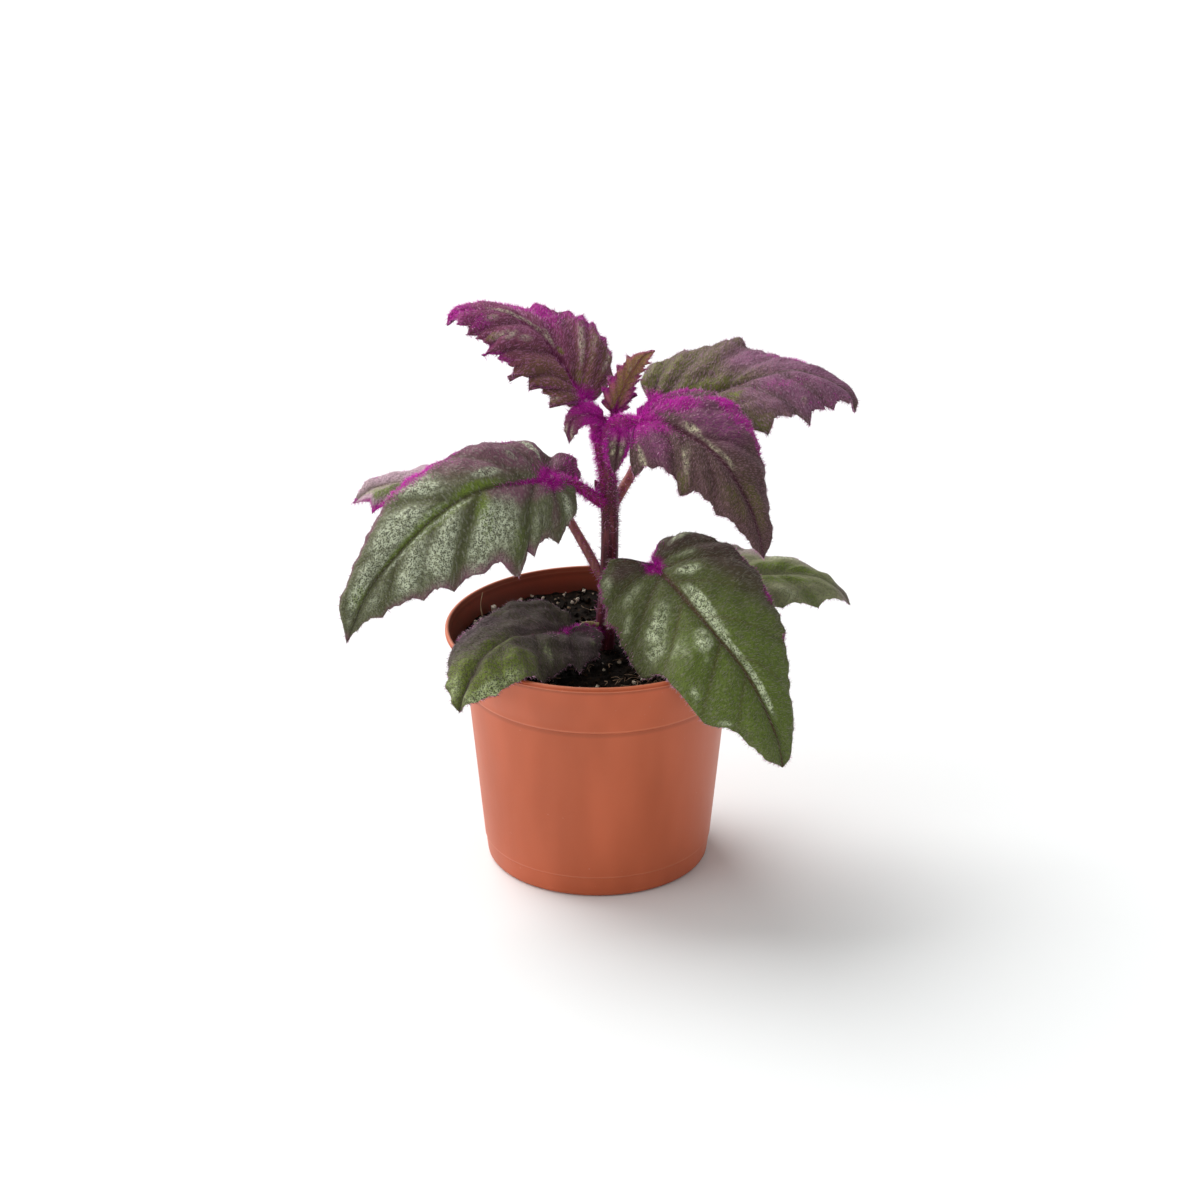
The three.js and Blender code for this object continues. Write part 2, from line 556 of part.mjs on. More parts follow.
const stemClearance = stemRod(GAP);
addPiece('pot', potGeometry(), 'pot', 0.5);
const soil = addPiece('potting_soil', soilGeometry(stemClearance), 'soil', 0.95);
addPiece('main_stem', fromSolid(mainStem()), 'stem');
Object.entries(LEAVES).forEach(([name, leaf]) => {
  addPiece(name, leafGeometry(leaf, stemClearance), leaf.colour);
});
PERLITE.forEach(([x, y, size], i) => {
  const number = String(i + 1).padStart(2, '0');
  addPiece(`perlite_grain_${number}`, grainGeometry(soil, x, y, size, i), 'perlite', 0.9);
});
addPiece('root_fibre', strandGeometry(ROOT_FIBRE), 'root');
addPiece('dried_strand', strandGeometry(DRIED_STRAND), 'dry');

export default plant;
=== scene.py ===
"""A potted purple passion plant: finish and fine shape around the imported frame.

Everything is in metres in the frame's own axes: +Z up, the viewer at -Y. Tables are in millimetres.
"""

import math
from functools import cache

import bpy
import numpy as np
from bpy.props import FloatProperty, FloatVectorProperty, IntProperty, PointerProperty
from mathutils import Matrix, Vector, noise


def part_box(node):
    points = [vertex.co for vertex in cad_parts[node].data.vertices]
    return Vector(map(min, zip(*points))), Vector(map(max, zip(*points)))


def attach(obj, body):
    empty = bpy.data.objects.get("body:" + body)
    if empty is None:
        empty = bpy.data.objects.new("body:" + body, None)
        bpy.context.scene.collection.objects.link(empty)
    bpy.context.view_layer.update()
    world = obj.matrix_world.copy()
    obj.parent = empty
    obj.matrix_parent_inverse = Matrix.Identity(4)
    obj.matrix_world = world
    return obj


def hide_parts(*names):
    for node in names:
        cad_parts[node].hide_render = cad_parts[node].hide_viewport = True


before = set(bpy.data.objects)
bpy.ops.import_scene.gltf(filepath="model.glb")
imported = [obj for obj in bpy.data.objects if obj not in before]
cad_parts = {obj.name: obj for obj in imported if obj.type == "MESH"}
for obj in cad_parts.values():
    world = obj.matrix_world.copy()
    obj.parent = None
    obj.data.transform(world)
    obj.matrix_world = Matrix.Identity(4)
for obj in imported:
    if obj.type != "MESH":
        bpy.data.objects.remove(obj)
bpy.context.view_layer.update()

bl_info = {
    "name": "Potted purple passion plant",
    "version": (1, 0, 0),
    "blender": (4, 5, 0),
    "location": "View3D > Sidebar > Plant",
    "description": "Builds a velvety purple passion plant in its nursery pot",
    "category": "Add Mesh",
}

MM = 0.001
TURN = 2 * math.pi
ROOT = "root"

POT_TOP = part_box("pot")[1]
RIM_RADIUS = POT_TOP.x / MM
POT_HEIGHT = POT_TOP.z / MM
FOOT_RADIUS = 43.8
COLLAR_FOOT_RADIUS = 52.2
COLLAR_STEP = 0.6
POT_BASE = 1.6
DRAIN_HOLES = 6
DRAIN_RADIUS = 4
DRAIN_CIRCLE = 28
DRAIN_SIDES = 28

SOIL_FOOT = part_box("potting_soil")[0].z / MM
SOIL_TOP = 88.5
SOIL_BUMP = 0.7
SOIL_EDGE = 55.35
SOIL_REACH = 54.5
SOIL_SIDES = 288
SOIL_RINGS = 92

STEM_PATH = [
    (2.5, 0, 64), (3, 0, 85.5), (3.5, 0, 103.5), (4.5, 0, 121), (4.5, 0, 151.5),
    (3, 0, 167), (1.5, 0, 179),
]
STEM_NODES = (95, 101.5, 117.5, 148, 151, 172, 176)
CROWN_PATH = [(1.5, 0, 176), (1.7, -0.5, 180), (2.6, 0.2, 184.5)]
BUD_PATH = [(0.6, 1.3, 153.5), (0.2, 1.5, 155.5), (-1, 1.6, 158)]
ROOT_FIBRE = [(-46, 26, 89.5), (-46.6, 27, 94), (-45.8, 28, 99)]
DRIED_STRAND = [(0.4, -4.4, 99.2), (-3, -4.6, 100.3), (-6, -6, 100.6), (-8.4, -6.8, 98)]
DRIED_STUB = [(-0.6, -3.4, 98.2), (-2.2, -4.6, 99.2), (-3.6, -5.2, 99.8)]

# The leaf net: how much of each margin fans out from the blade's foot, how far the blade arches,
# how the columns sweep back, how far the teeth lean to the tip, and the least gap between two
# teeth that gets a small one.
FAN = 0.3
CAMBER = 0.12
VEIN_SWEEP = 0.1
TOOTH_LEAN = 0.35
SMALL_GAP = 0.055

# The side veins: the least tooth that gets one, the least gap between two, the widest gap
# without a faint one, the depth of a faint one, how far they slant forward, how wide the valley
# is that they leave between the pillows, and where along a side vein and a rib they are read.
VEIN_TOOTH = 2.0
VEIN_GAP = 0.09
WIDEST_GAP = 0.2
FAINT_VEIN = 0.4
VEIN_FORWARD = 0.12
PILLOW_REACH = 3.2
VEIN_STEPS = np.linspace(0.0, 0.97, 60)
RIB_SAMPLES = 120

# The two halves of a blade, seen from its foot with the upper side up, and its four coats.
SIDES = {"left": -1, "right": 1}
COATS = ("magenta", "green", "silver", "second")
EAR_FACE = (0, -1, 0.2)

# Hairs per square millimetre of magenta fuzz, of the underside and of a stem, hairs per
# millimetre of the margin, and the leaves whose stalks have few.
FUZZY_HAIRS = 4.2
UNDER_HAIRS = 0.56
STEM_HAIRS = 2.4
RIM_HAIRS = 3.6
BARE_STALKS = ("leaf_middle_left_back", "leaf_upper_right_back", "leaf_lower_right_back")

CAMERA_PLACE = (0.001002, -1.35218, 0.69931)
CAMERA_TILT = 66.38
CAMERA_LENS = 113.2

# Each leaf. petiole: the stalk, from the middle of the stem to the blade. rib: from there to the
# tip. left and right: the margins, from foot to tip. Teeth are (place along the margin, height)
# and side veins (place along the margin, depth); without any they follow the larger teeth. face
# looks up from the blade, and radius is the stalk's. fuzz: reach of the magenta fuzz at the foot.
# haze: hairs of the leaf's own colour per square millimetre. streaks: painted highlight beside the
# rib, as (side, from, to, strength). patches: the coats on each side, as (along, out, reach along,
# reach out, strength); the highlight coat is painted highlight. tones: the colours of the blade,
# the painted highlight's among them, and how strong its strokes are. stalk: the dark and the light
# colour of its skin. ear: the small lobe at the foot of the stalk.
LEAVES = {
    "leaf_middle_left": {
        "slot": "leaf_silver_green", "radius": 2.3, "face": (-0.3, -0.5, 0.8),
        "petiole": [(2, -2, 150), (-9.5, -8, 160), (-18.5, -10, 162.5)],
        "rib": [
            (-18.5, -10, 162.5), (-44.5, -26, 164.5), (-59.5, -33, 158), (-74.5, -39, 145),
            (-86, -45, 132), (-95, -50, 112)],
        "left": [
            (-17, -9, 162.5), (-11.5, -8, 161.5), (-8.5, -11, 156.5), (-10.5, -18, 150),
            (-15.5, -26, 147), (-22, -30, 145.5), (-29.5, -34, 141), (-37, -37, 140.5),
            (-44.5, -40, 137), (-67, -46, 130.5), (-90.5, -49, 118.5)],
        "left_teeth": [
            (0.15, 1.3), (0.26, 3.9), (0.32, 0.8), (0.355, 3.5), (0.402, 7.8), (0.52, 1.1), (0.612, 4),
            (0.712, 3), (0.79, 0.8), (0.85, 2.1), (0.94, 1)],
        "left_veins": [(0.13, 0.5), (0.26, 0.9), (0.41, 1), (0.612, 1), (0.73, 0.45), (0.85, 0.6)],
        "right": [
            (-17.5, -6, 162.5), (-11.5, 0, 159.6), (-7.7, 4.5, 159.2), (-9.2, 5.8, 163.4),
            (-14, 5.5, 165.2), (-18.8, 3, 165.6), (-22, 4.3, 168.8), (-27, 5, 171), (-41, -2, 173.6),
            (-48.5, -6, 174), (-77, -22, 161.5), (-85.5, -32, 149.5), (-93.5, -43, 135),
            (-96.5, -47, 124.5)],
        "right_teeth": [
            (0.08, 3), (0.12, 1.6), (0.24, 1.5), (0.33, 1), (0.4, 0.8), (0.5, 0.8), (0.62, 0.8),
            (0.73, 0.8), (0.81, 0.8), (0.89, 0.8)],
        "right_veins": [(0.1, 0.8), (0.22, 0.9), (0.33, 0.8), (0.47, 0.8), (0.68, 0.7), (0.84, 0.4)],
        "fuzz": 6, "rim_plain": 0.4, "rib_band": 0.9, "haze": 0.04, "tooth_power": 1.15,
        "streaks": [("left", 0.25, 0.8, 0.8), ("right", 0.3, 0.7, 0.6)],
        "patches": {
            "magenta right": [
                (0.56, 0.95, 0.09, 0.25, 0.75), (0.47, 1, 0.06, 0.12, 0.5), (0.31, 1, 0.03, 0.1, 0.5),
                (0.09, 0.9, 0.07, 1, 0.5), (0.66, 0.97, 0.06, 0.12, 0.25)],
            "green left": [
                (0.5, 0.35, 0.03, 0.5, 0.8), (0.62, 0.1, 0.16, 0.14, 0.7),
                (0.405, 0.7, 0.03, 0.3, 0.5)],
            "green right": [
                (0.5, 0.03, 0.07, 0.14, 1.3), (0.68, 0.02, 0.14, 0.13, 1.2),
                (0.88, 0.3, 0.05, 0.4, 0.7)],
            "silver left": [
                (0.62, 0.55, 0.28, 0.45, 1), (0.38, 0.6, 0.035, 0.4, 1), (0.2, 0.65, 0.05, 0.35, 1)],
            "silver right": [
                (0.28, 0.6, 0.013, 0.3, 1.3), (0.2, 0.55, 0.014, 0.3, 1.1),
                (0.36, 0.5, 0.02, 0.16, 0.6), (0.44, 0.26, 0.06, 0.09, 0.9), (0.76, 0.35, 0.2, 0.4, 1),
                (0.6, 0.5, 0.06, 0.35, 1)],
            "second left": [
                (0.3, 0.12, 0.22, 0.25, 1), (0.27, 0.5, 0.03, 0.6, 0.6), (0.55, 1.05, 0.45, 0.2, 0.85)],
            "second right": [
                (0.36, 0.75, 0.2, 0.6, 1), (0.12, 0.5, 0.12, 1, 1), (0.75, 1.05, 0.2, 0.2, 0.8)],
            "second both": [(1, 0.5, 0.03, 2, 0.8)],
        },
        "tones": {
            "ground": (0.125, 0.13, 0.062), "second": (0.2, 0.085, 0.12), "green": (0.16, 0.22, 0.03),
            "silver": (0.53, 0.565, 0.4), "vein": (0.06, 0.045, 0.022), "under": (0.12, 0.025, 0.07),
            "haze": (0.4, 0.38, 0.32), "strokes": 0.25},
        "stalk": ((0.11, 0.008, 0.05), (0.24, 0.03, 0.1)),
    },
    "leaf_middle_left_back": {
        "slot": "leaf_olive", "radius": 1.9, "face": (-0.2, -0.3, 1),
        "petiole": [
            (1.5, 1, 117.5), (-3.5, 5, 126), (-10.5, 9, 137.5), (-15.5, 12, 145.5), (-20, 12, 151)],
        "rib": [(-20, 12, 151), (-38, 16, 152), (-77.5, 20, 149.5), (-88.5, 21, 146), (-96, 22, 140)],
        "left": [
            (-19, 10, 149.5), (-24, 4, 145), (-37.5, 0, 142.5), (-53, 0, 143), (-67, 4, 144),
            (-88.5, 17, 142.5)],
        "left_teeth": [(0.19, 2.8), (0.36, 2.4), (0.53, 2.7), (0.7, 3.4), (0.855, 5.4)],
        "right": [
            (-19.5, 15, 151.5), (-24.5, 26, 153), (-36.5, 33, 154), (-50.5, 35, 152.5), (-74, 30, 149),
            (-91.5, 24, 146)],
        "right_teeth": [(0.25, 2.1), (0.4, 1.2), (0.55, 1.4), (0.67, 0.8), (0.79, 0.8), (0.9, 0.8)],
        "fuzz": 9, "haze": 0.3,
        "patches": {
            "magenta left": [(0.75, 1, 0.25, 0.25, 0.9)],
            "magenta right": [(0.85, 1, 0.2, 0.3, 0.5)],
            "magenta both": [(1, 0.5, 0.03, 2, 0.7)],
            "green left": [(0.82, 0.45, 0.12, 0.25, 0.9)],
            "silver both": [(0.6, 0.3, 0.3, 0.4, 0.5)],
            "second left": [(0.85, 0.8, 0.3, 0.5, 1)],
            "second right": [(0.6, 0.5, 0.5, 0.8, 0.9)],
        },
        "tones": {
            "ground": (0.33, 0.28, 0.2), "second": (0.54, 0.36, 0.42), "green": (0.24, 0.288, 0.096),
            "silver": (0.408, 0.384, 0.3), "vein": (0.2, 0.13, 0.1), "under": (0.2, 0.05, 0.12),
            "haze": (0.7, 0.5, 0.6), "strokes": 0.3},
        "stalk": ((0.3, 0.11, 0.09), (0.5, 0.2, 0.16)),
    },
    "leaf_upper_left": {
        "slot": "leaf_purple", "radius": 3, "face": (0.1, -0.5, 0.9),
        "petiole": [(1.5, 0, 175), (0, 0, 181.5), (-5, -2, 191.5)],
        "rib": [
            (-5, -2, 191.5), (-16, 7, 205), (-22, 9, 213.5), (-30.5, 9, 220), (-41, 6, 224.5),
            (-50, 1, 226), (-57, -4, 223.5)],
        "left": [
            (-6.5, -5, 191.5), (-15.5, -12, 196), (-20.5, -14, 201.5), (-31.5, -15, 210.7),
            (-36, -14.5, 214.6), (-45, -10.8, 221.4), (-53, -5.5, 225.8)],
        "left_teeth": [
            (0.08, 2.2), (0.19, 4.8), (0.27, 2.2), (0.345, 6.6), (0.46, 9.4), (0.53, 2), (0.585, 4),
            (0.635, 7.6), (0.71, 1.6), (0.75, 2.6), (0.79, 4.4), (0.87, 3.8)],
        "right": [
            (-3.5, 2, 190.5), (1, 10, 191), (4.5, 18, 195.5), (1, 25, 207.5), (-7.5, 26, 214.8),
            (-22, 26, 218.5), (-30, 24, 219.5), (-45, 16, 223.5), (-55.5, 2, 225.5)],
        "right_teeth": [
            (0.17, 1.4), (0.24, 2.4), (0.29, 3.4), (0.35, 2.6), (0.39, 3.2), (0.44, 2), (0.55, 3.6),
            (0.62, 1.4), (0.69, 2.8), (0.76, 1.3), (0.83, 1.8)],
        "right_veins": [
            (0.1, 0.6), (0.2, 0.7), (0.3, 1), (0.385, 0.8), (0.48, 1), (0.6, 0.8), (0.72, 0.6)],
        "ear": {
            "rib": [(2, -5, 186), (-4, -8, 189), (-8.8, -9, 187.5), (-10.6, -9, 183), (-10.8, -9, 177)],
            "left": [(2, -6, 183.5), (-2.5, -8, 185.2), (-6.5, -9, 184), (-8.9, -9.2, 180.5)],
            "left_teeth": [(0.4, 0.5), (0.7, 0.5)],
            "right": [(1.5, -4, 189), (-4, -5.5, 192.5), (-10, -7.5, 191), (-12.3, -8.5, 184)],
            "right_teeth": [(0.6, 0.5), (0.8, 0.5)],
            "patches": {
                "magenta both": [(0.3, 0.5, 0.32, 1.2, 1)],
                "silver both": [(0.85, 0.4, 0.138, 0.66, 1.7)],
            },
        },
        "fuzz": 6.5, "rib_band": 2, "haze": 0.7, "tooth_power": 0.95,
        "streaks": [("right", 0.33, 0.8, 0.95)],
        "patches": {
            "magenta left": [(0.8, 0.65, 0.07, 0.4, 0.45), (0.6, 1, 0.12, 0.15, 0.5)],
            "magenta right": [
                (0.72, 0.9, 0.3, 0.3, 0.66), (0.55, 0.8, 0.08, 0.4, 0.6), (0.4, 1, 0.1, 0.2, 0.6),
                (0.28, 1, 0.08, 0.15, 0.6)],
            "magenta both": [(0.95, 0.5, 0.12, 1.2, 0.62)],
            "green left": [(0.44, 0.75, 0.04, 0.2, 0.6), (0.7, 0.85, 0.04, 0.15, 0.7)],
            "green right": [(0.48, 0.2, 0.03, 0.06, 1), (0.36, 0.14, 0.06, 0.14, 0.8)],
            "silver left": [
                (0.69, 0.74, 0.03, 0.22, 0.75), (0.65, 0.6, 0.03, 0.2, 0.7),
                (0.61, 0.46, 0.03, 0.2, 0.65), (0.42, 0.95, 0.034, 0.132, 1.53),
                (0.2, 0.9, 0.069, 0.22, 1.02), (0.76, 0.5, 0.046, 0.22, 0.85)],
            "silver right": [
                (0.53, 0.2, 0.057, 0.11, 1.7), (0.6, 0.06, 0.057, 0.066, 1.7),
                (0.66, 0.03, 0.057, 0.055, 1.7), (0.38, 0.5, 0.052, 0.385, 1.53),
                (0.27, 0.6, 0.034, 0.385, 1.53), (0.15, 0.6, 0.046, 0.33, 1.19)],
            "second left": [(0.3, 0.6, 0.28, 0.8, 1)],
            "second right": [(0.2, 0.5, 0.22, 0.8, 1)],
        },
        "tones": {
            "ground": (0.215, 0.04, 0.1), "second": (0.2, 0.09, 0.052), "green": (0.195, 0.156, 0.0234),
            "silver": (0.546, 0.429, 0.338), "vein": (0.15, 0.01, 0.065), "under": (0.16, 0.02, 0.11),
            "haze": (0.6, 0.22, 0.43), "strokes": 0.4},
        "stalk": ((0.36, 0.018, 0.26), (0.48, 0.06, 0.32)),
    },
    "leaf_young_top": {
        "slot": "leaf_purple", "radius": 1.2, "face": (-0.5, -0.8, 0.3),
        "petiole": [(3.5, 1, 177), (5, 4, 181), (6.5, 5, 184)],
        "rib": [(6.5, 5, 184), (8, 6, 190), (14.5, 7, 202.5), (19, 6, 208.5), (22, 5, 209.5)],
        "left": [(5, 4, 186), (3.3, 3, 191), (4.6, 3, 196), (14, 5, 208)],
        "left_teeth": [(0.12, 2.2), (0.24, 2.5), (0.38, 2.7), (0.53, 2.5), (0.68, 2.2)],
        "right": [(8.5, 6, 183.5), (11, 8, 187), (12.8, 9, 191), (16.3, 8, 200)],
        "right_teeth": [
            (0.04, 1.2), (0.11, 3), (0.2, 2), (0.27, 3.8), (0.36, 2), (0.45, 3.6), (0.54, 2.2),
            (0.63, 3.4), (0.78, 2.4)],
        "fuzz": 3.5, "haze": 0.5,
        "patches": {
            "magenta right": [(0.15, 0.8, 0.2, 0.4, 0.6)],
            "magenta both": [(0.3, 1, 0.4, 0.3, 0.7)],
            "green both": [(0.4, 0.05, 0.5, 0.45, 1)],
            "silver both": [(0.75, 0.3, 0.15, 0.4, 0.7)],
            "second both": [(0.75, 0.3, 0.35, 0.6, 1)],
        },
        "tones": {
            "ground": (0.6, 0.165, 0.23), "second": (0.44, 0.29, 0.08), "green": (0.36, 0.26, 0.045),
            "silver": (0.52, 0.39, 0.26), "vein": (0.42, 0.2, 0.1), "under": (0.2, 0.02, 0.1),
            "haze": (0.8, 0.3, 0.5), "strokes": 0.4},
        "stalk": ((0.24, 0.02, 0.12), (0.34, 0.1, 0.08)),
    },
    "leaf_upper_right_back": {
        "slot": "leaf_olive", "radius": 2, "face": (0.1, -0.4, 1),
        "petiole": [(6.5, 3, 147.5), (15, 13, 159.5), (18.5, 18, 168), (21, 20, 182.5)],
        "rib": [
            (21, 20, 182.5), (43.5, 18, 186.5), (64.5, 16, 195), (78, 15, 197.5), (96.5, 11, 190),
            (99.5, 9, 183)],
        "left": [
            (19.5, 25, 183), (19, 33, 187.5), (23, 40, 190.5), (44, 46, 195.5), (53, 45, 198.5),
            (60, 41, 196.5), (79, 30, 194.5), (100, 11, 187.5)],
        "left_teeth": [
            (0.03, 2), (0.13, 1.8), (0.26, 4.6), (0.345, 0.8), (0.4, 3.2), (0.445, 2.6), (0.54, 1.4),
            (0.66, 2.2), (0.84, 1)],
        "right": [
            (22.5, 14, 181), (29, 8, 178), (37.5, 3, 177), (64, -3, 183), (71, -2, 186.5),
            (78.5, 0, 186), (96.5, 8, 188.5)],
        "right_teeth": [
            (0.2, 1.7), (0.37, 2.9), (0.51, 6.2), (0.635, 2.8), (0.695, 6.2), (0.795, 1.6),
            (0.828, 3.4), (0.91, 2.2)],
        "fuzz": 6, "haze": 1, "tooth_power": 1.1,
        "patches": {
            "magenta left": [(0.72, 0.9, 0.12, 0.2, 0.7)],
            "magenta right": [(0.7, 0.35, 0.12, 0.2, 0.36), (0.84, 0.9, 0.12, 0.25, 0.3)],
            "green left": [(0.2, 0.5, 0.2, 0.8, 0.9), (0.45, 0.12, 0.13, 0.14, 1)],
            "green right": [(0.53, 0.33, 0.05, 0.09, 1), (0.5, 0.9, 0.05, 0.2, 0.7)],
            "silver left": [(0.15, 0.7, 0.06, 0.2, 0.6)],
            "silver right": [(0.66, 0.55, 0.05, 0.15, 0.6), (0.72, 0.75, 0.03, 0.1, 0.6)],
            "second left": [
                (0.27, 0.85, 0.07, 0.25, 0.6), (0.6, 0.75, 0.14, 0.5, 1), (0.8, 0.5, 0.2, 1, 0.9)],
            "second right": [(0.78, 0.4, 0.25, 0.8, 1), (0.6, 0.3, 0.06, 0.2, 0.7)],
        },
        "tones": {
            "ground": (0.14, 0.11, 0.05), "second": (0.245, 0.088, 0.17),
            "green": (0.163, 0.163, 0.0375), "silver": (0.375, 0.312, 0.225),
            "vein": (0.07, 0.045, 0.03), "under": (0.14, 0.02, 0.1), "haze": (0.36, 0.2, 0.28),
            "strokes": 0.5},
        "stalk": ((0.29, 0.095, 0.075), (0.45, 0.17, 0.12)),
    },
    "leaf_upper_right_front": {
        "slot": "leaf_purple", "radius": 2.8, "face": (0.4, -0.6, 0.8),
        "petiole": [(3.5, -2, 174), (5.5, -6, 182.5), (10, -9.5, 186.2), (15, -12, 187)],
        "rib": [
            (15, -12, 187), (24, -17, 188.5), (45.5, -32, 180), (56.5, -40, 164.5), (60, -44, 156),
            (62.5, -47, 145.5)],
        "left": [
            (16, -9, 188), (17.5, -4, 189), (22.5, 0, 190.5), (35.5, 2, 192.8), (42, 0, 193.8),
            (55, -9, 188), (60.5, -21, 178), (62, -26, 172), (64, -38, 158.5), (64.5, -43, 150.5)],
        "left_teeth": [
            (0.05, 1.1), (0.13, 1.5), (0.21, 2.4), (0.265, 1.2), (0.31, 2), (0.36, 1.3), (0.41, 1.6),
            (0.48, 1.2), (0.58, 1.6), (0.65, 2), (0.8, 1.1), (0.89, 1)],
        "right": [
            (13.5, -14, 186), (13, -19, 182), (15.5, -26, 176), (26.5, -33, 176.5), (32, -38, 171),
            (38.5, -40, 169.5), (44.5, -43, 164.5), (51.5, -45, 159)],
        "right_teeth": [
            (0.205, 5.2), (0.285, 1.4), (0.38, 1.6), (0.48, 3.6), (0.6, 1), (0.68, 2.1), (0.82, 0.9),
            (0.92, 0.8)],
        "ear": {
            "fuzz": 7,
            "rib": [(9, -9.5, 185), (8, -11, 177), (6.5, -10.5, 165.5)],
            "left": [(12.5, -11, 186), (13, -12, 180), (11, -11.5, 174), (8.5, -10.5, 168.5)],
            "left_teeth": [(0.35, 0.8), (0.6, 0.6)],
            "right": [(4.5, -8, 183), (3, -9.5, 177), (4, -10, 170)],
            "right_teeth": [(0.3, 0.6), (0.6, 0.6)],
            "patches": {
                "magenta both": [(0.5, 1, 0.6, 0.3, 1)],
                "silver both": [(0.5, 0.15, 0.3, 0.45, 1.5)],
            },
        },
        "fuzz": 11, "rib_band": 1.5, "haze": 1, "tooth_power": 1,
        "streaks": [("left", 0.14, 0.66, 0.62), ("right", 0.5, 0.85, 0.4)],
        "patches": {
            "magenta left": [
                (0.19, 0.6, 0.12, 0.8, 0.95), (0.4, 0.86, 0.05, 0.16, 1), (0.48, 0.9, 0.08, 0.3, 0.65),
                (0.34, 0.4, 0.09, 0.3, 0.85), (0.55, 1, 0.1, 0.15, 0.7)],
            "magenta right": [
                (0.32, 0.16, 0.14, 0.24, 0.75), (0.4, 0.5, 0.06, 0.4, 0.3), (0.12, 0.5, 0.1, 0.8, 0.2)],
            "green left": [(0.3, 0.9, 0.03, 0.12, 0.7), (0.8, 0.3, 0.15, 0.4, 0.6)],
            "green right": [(0.48, 0.85, 0.05, 0.2, 0.7), (0.75, 0.5, 0.12, 0.4, 0.6)],
            "silver left": [
                (0.29, 0.92, 0.02, 0.08, 0.9), (0.5, 0.12, 0.05, 0.07, 1), (0.6, 0.06, 0.06, 0.05, 1.1),
                (0.68, 0.04, 0.05, 0.05, 1.2)],
            "silver right": [
                (0.25, 0.8, 0.03, 0.2, 1.35), (0.5, 0.5, 0.028, 0.36, 0.85),
                (0.62, 0.6, 0.03, 0.3, 0.75)],
            "second left": [(0.5, 0.5, 0.14, 0.5, 0.7)],
            "second right": [(0.35, 0.6, 0.1, 0.6, 0.6)],
        },
        "tones": {
            "ground": (0.1, 0.05, 0.046), "second": (0.22, 0.045, 0.15),
            "green": (0.125, 0.112, 0.0275), "silver": (0.525, 0.463, 0.312),
            "vein": (0.07, 0.01, 0.025), "under": (0.16, 0.02, 0.11), "haze": (0.29, 0.155, 0.18),
            "strokes": 0.5},
        "stalk": ((0.26, 0.01, 0.2), (0.36, 0.04, 0.26)),
    },
    "leaf_lower_right_front": {
        "slot": "leaf_silver_green", "radius": 2.3, "face": (0.25, -0.6, 0.8),
        "petiole": [(4.5, -1, 102), (9.5, -3, 110), (16.5, -8, 121), (22, -13, 127.5)],
        "rib": [
            (22, -13, 127.5), (28.5, -22, 124.5), (46.5, -43, 110), (55, -50, 101.5), (62.5, -56, 89.5),
            (68.5, -60, 75.5), (70.5, -62, 65.5)],
        "left": [
            (22.5, -9, 128.5), (24, -6, 131.5), (28, -4, 135.5), (44.5, -6, 136), (59.5, -18, 129),
            (65.5, -26, 120), (69.5, -33, 114), (71, -40, 105.5), (73.5, -57, 74.5), (72, -60, 67.5)],
        "left_teeth": [
            (0.09, 0.8), (0.16, 1.1), (0.26, 1), (0.4, 0.8), (0.48, 0.8), (0.59, 0.8), (0.69, 0.8),
            (0.8, 0.8), (0.88, 0.8)],
        "left_veins": [(0.1, 0.5), (0.24, 0.8), (0.35, 0.7), (0.5, 0.35), (0.64, 0.35), (0.78, 0.3)],
        "right": [
            (19.5, -15, 129.5), (12.5, -13, 130.5), (5.5, -12, 129), (2, -14, 123.5), (2, -18, 116),
            (9.5, -28, 103.5), (13.5, -34, 96.5), (19.5, -38, 94.5), (24, -46, 97.5), (27, -53.5, 98.5),
            (36, -60, 90.5), (43.5, -62, 84.5), (51, -62.5, 82), (65, -62.5, 69.5)],
        "right_teeth": [
            (0.1, 1.4), (0.17, 0.8), (0.28, 2.9), (0.35, 0.8), (0.45, 3), (0.74, 1.9), (0.88, 0.9),
            (0.94, 0.8)],
        "right_veins": [(0.12, 0.7), (0.25, 0.9), (0.4, 1), (0.56, 0.6), (0.73, 0.8), (0.84, 0.4)],
        "fuzz": 4.5, "rib_fuzz": 0.3, "rim_fuzz": 0.32, "rim_plain": 0.4, "rib_band": 1, "haze": 0.5,
        "streaks": [("left", 0.12, 0.85, 1.2)],
        "patches": {
            "magenta left": [
                (0.47, 1, 0.04, 0.08, 0.6), (0.61, 1, 0.02, 0.06, 0.5), (0.35, 1, 0.06, 0.06, 0.4)],
            "magenta right": [(0.22, 1, 0.2, 0.07, 0.45)],
            "magenta both": [(0.02, 0.5, 0.05, 1, 0.9)],
            "green both": [(0.72, 0.4, 0.36, 1, 0.9)],
            "silver left": [
                (0.5, 0.13, 0.09, 0.075, 1.4), (0.62, 0.06, 0.1, 0.06, 1.4),
                (0.73, 0.03, 0.08, 0.05, 1.2), (0.3, 0.35, 0.021, 0.208, 0.92),
                (0.12, 0.7, 0.06, 0.28, 0.83), (0.37, 0.25, 0.019, 0.16, 0.92)],
            "silver right": [
                (0.22, 0.86, 0.074, 0.186, 0.6), (0.3, 0.5, 0.043, 0.302, 0.6),
                (0.43, 0.5, 0.043, 0.418, 0.66), (0.5, 0.66, 0.12, 0.32, 0.62),
                (0.36, 0.8, 0.036, 0.186, 0.6), (0.57, 0.2, 0.03, 0.2, 0.62),
                (0.6, 0.26, 0.03, 0.2, 0.85), (0.65, 0.4, 0.036, 0.139, 0.6),
                (0.68, 0.55, 0.032, 0.18, 0.5), (0.68, 0.85, 0.034, 0.096, 0.64),
                (0.79, 0.9, 0.025, 0.08, 0.83), (0.58, 0.6, 0.043, 0.16, 0.46)],
            "second left": [
                (0.32, 0.85, 0.22, 0.4, 1), (0.13, 0.7, 0.13, 0.6, 1), (0.5, 0.95, 0.16, 0.3, 0.75),
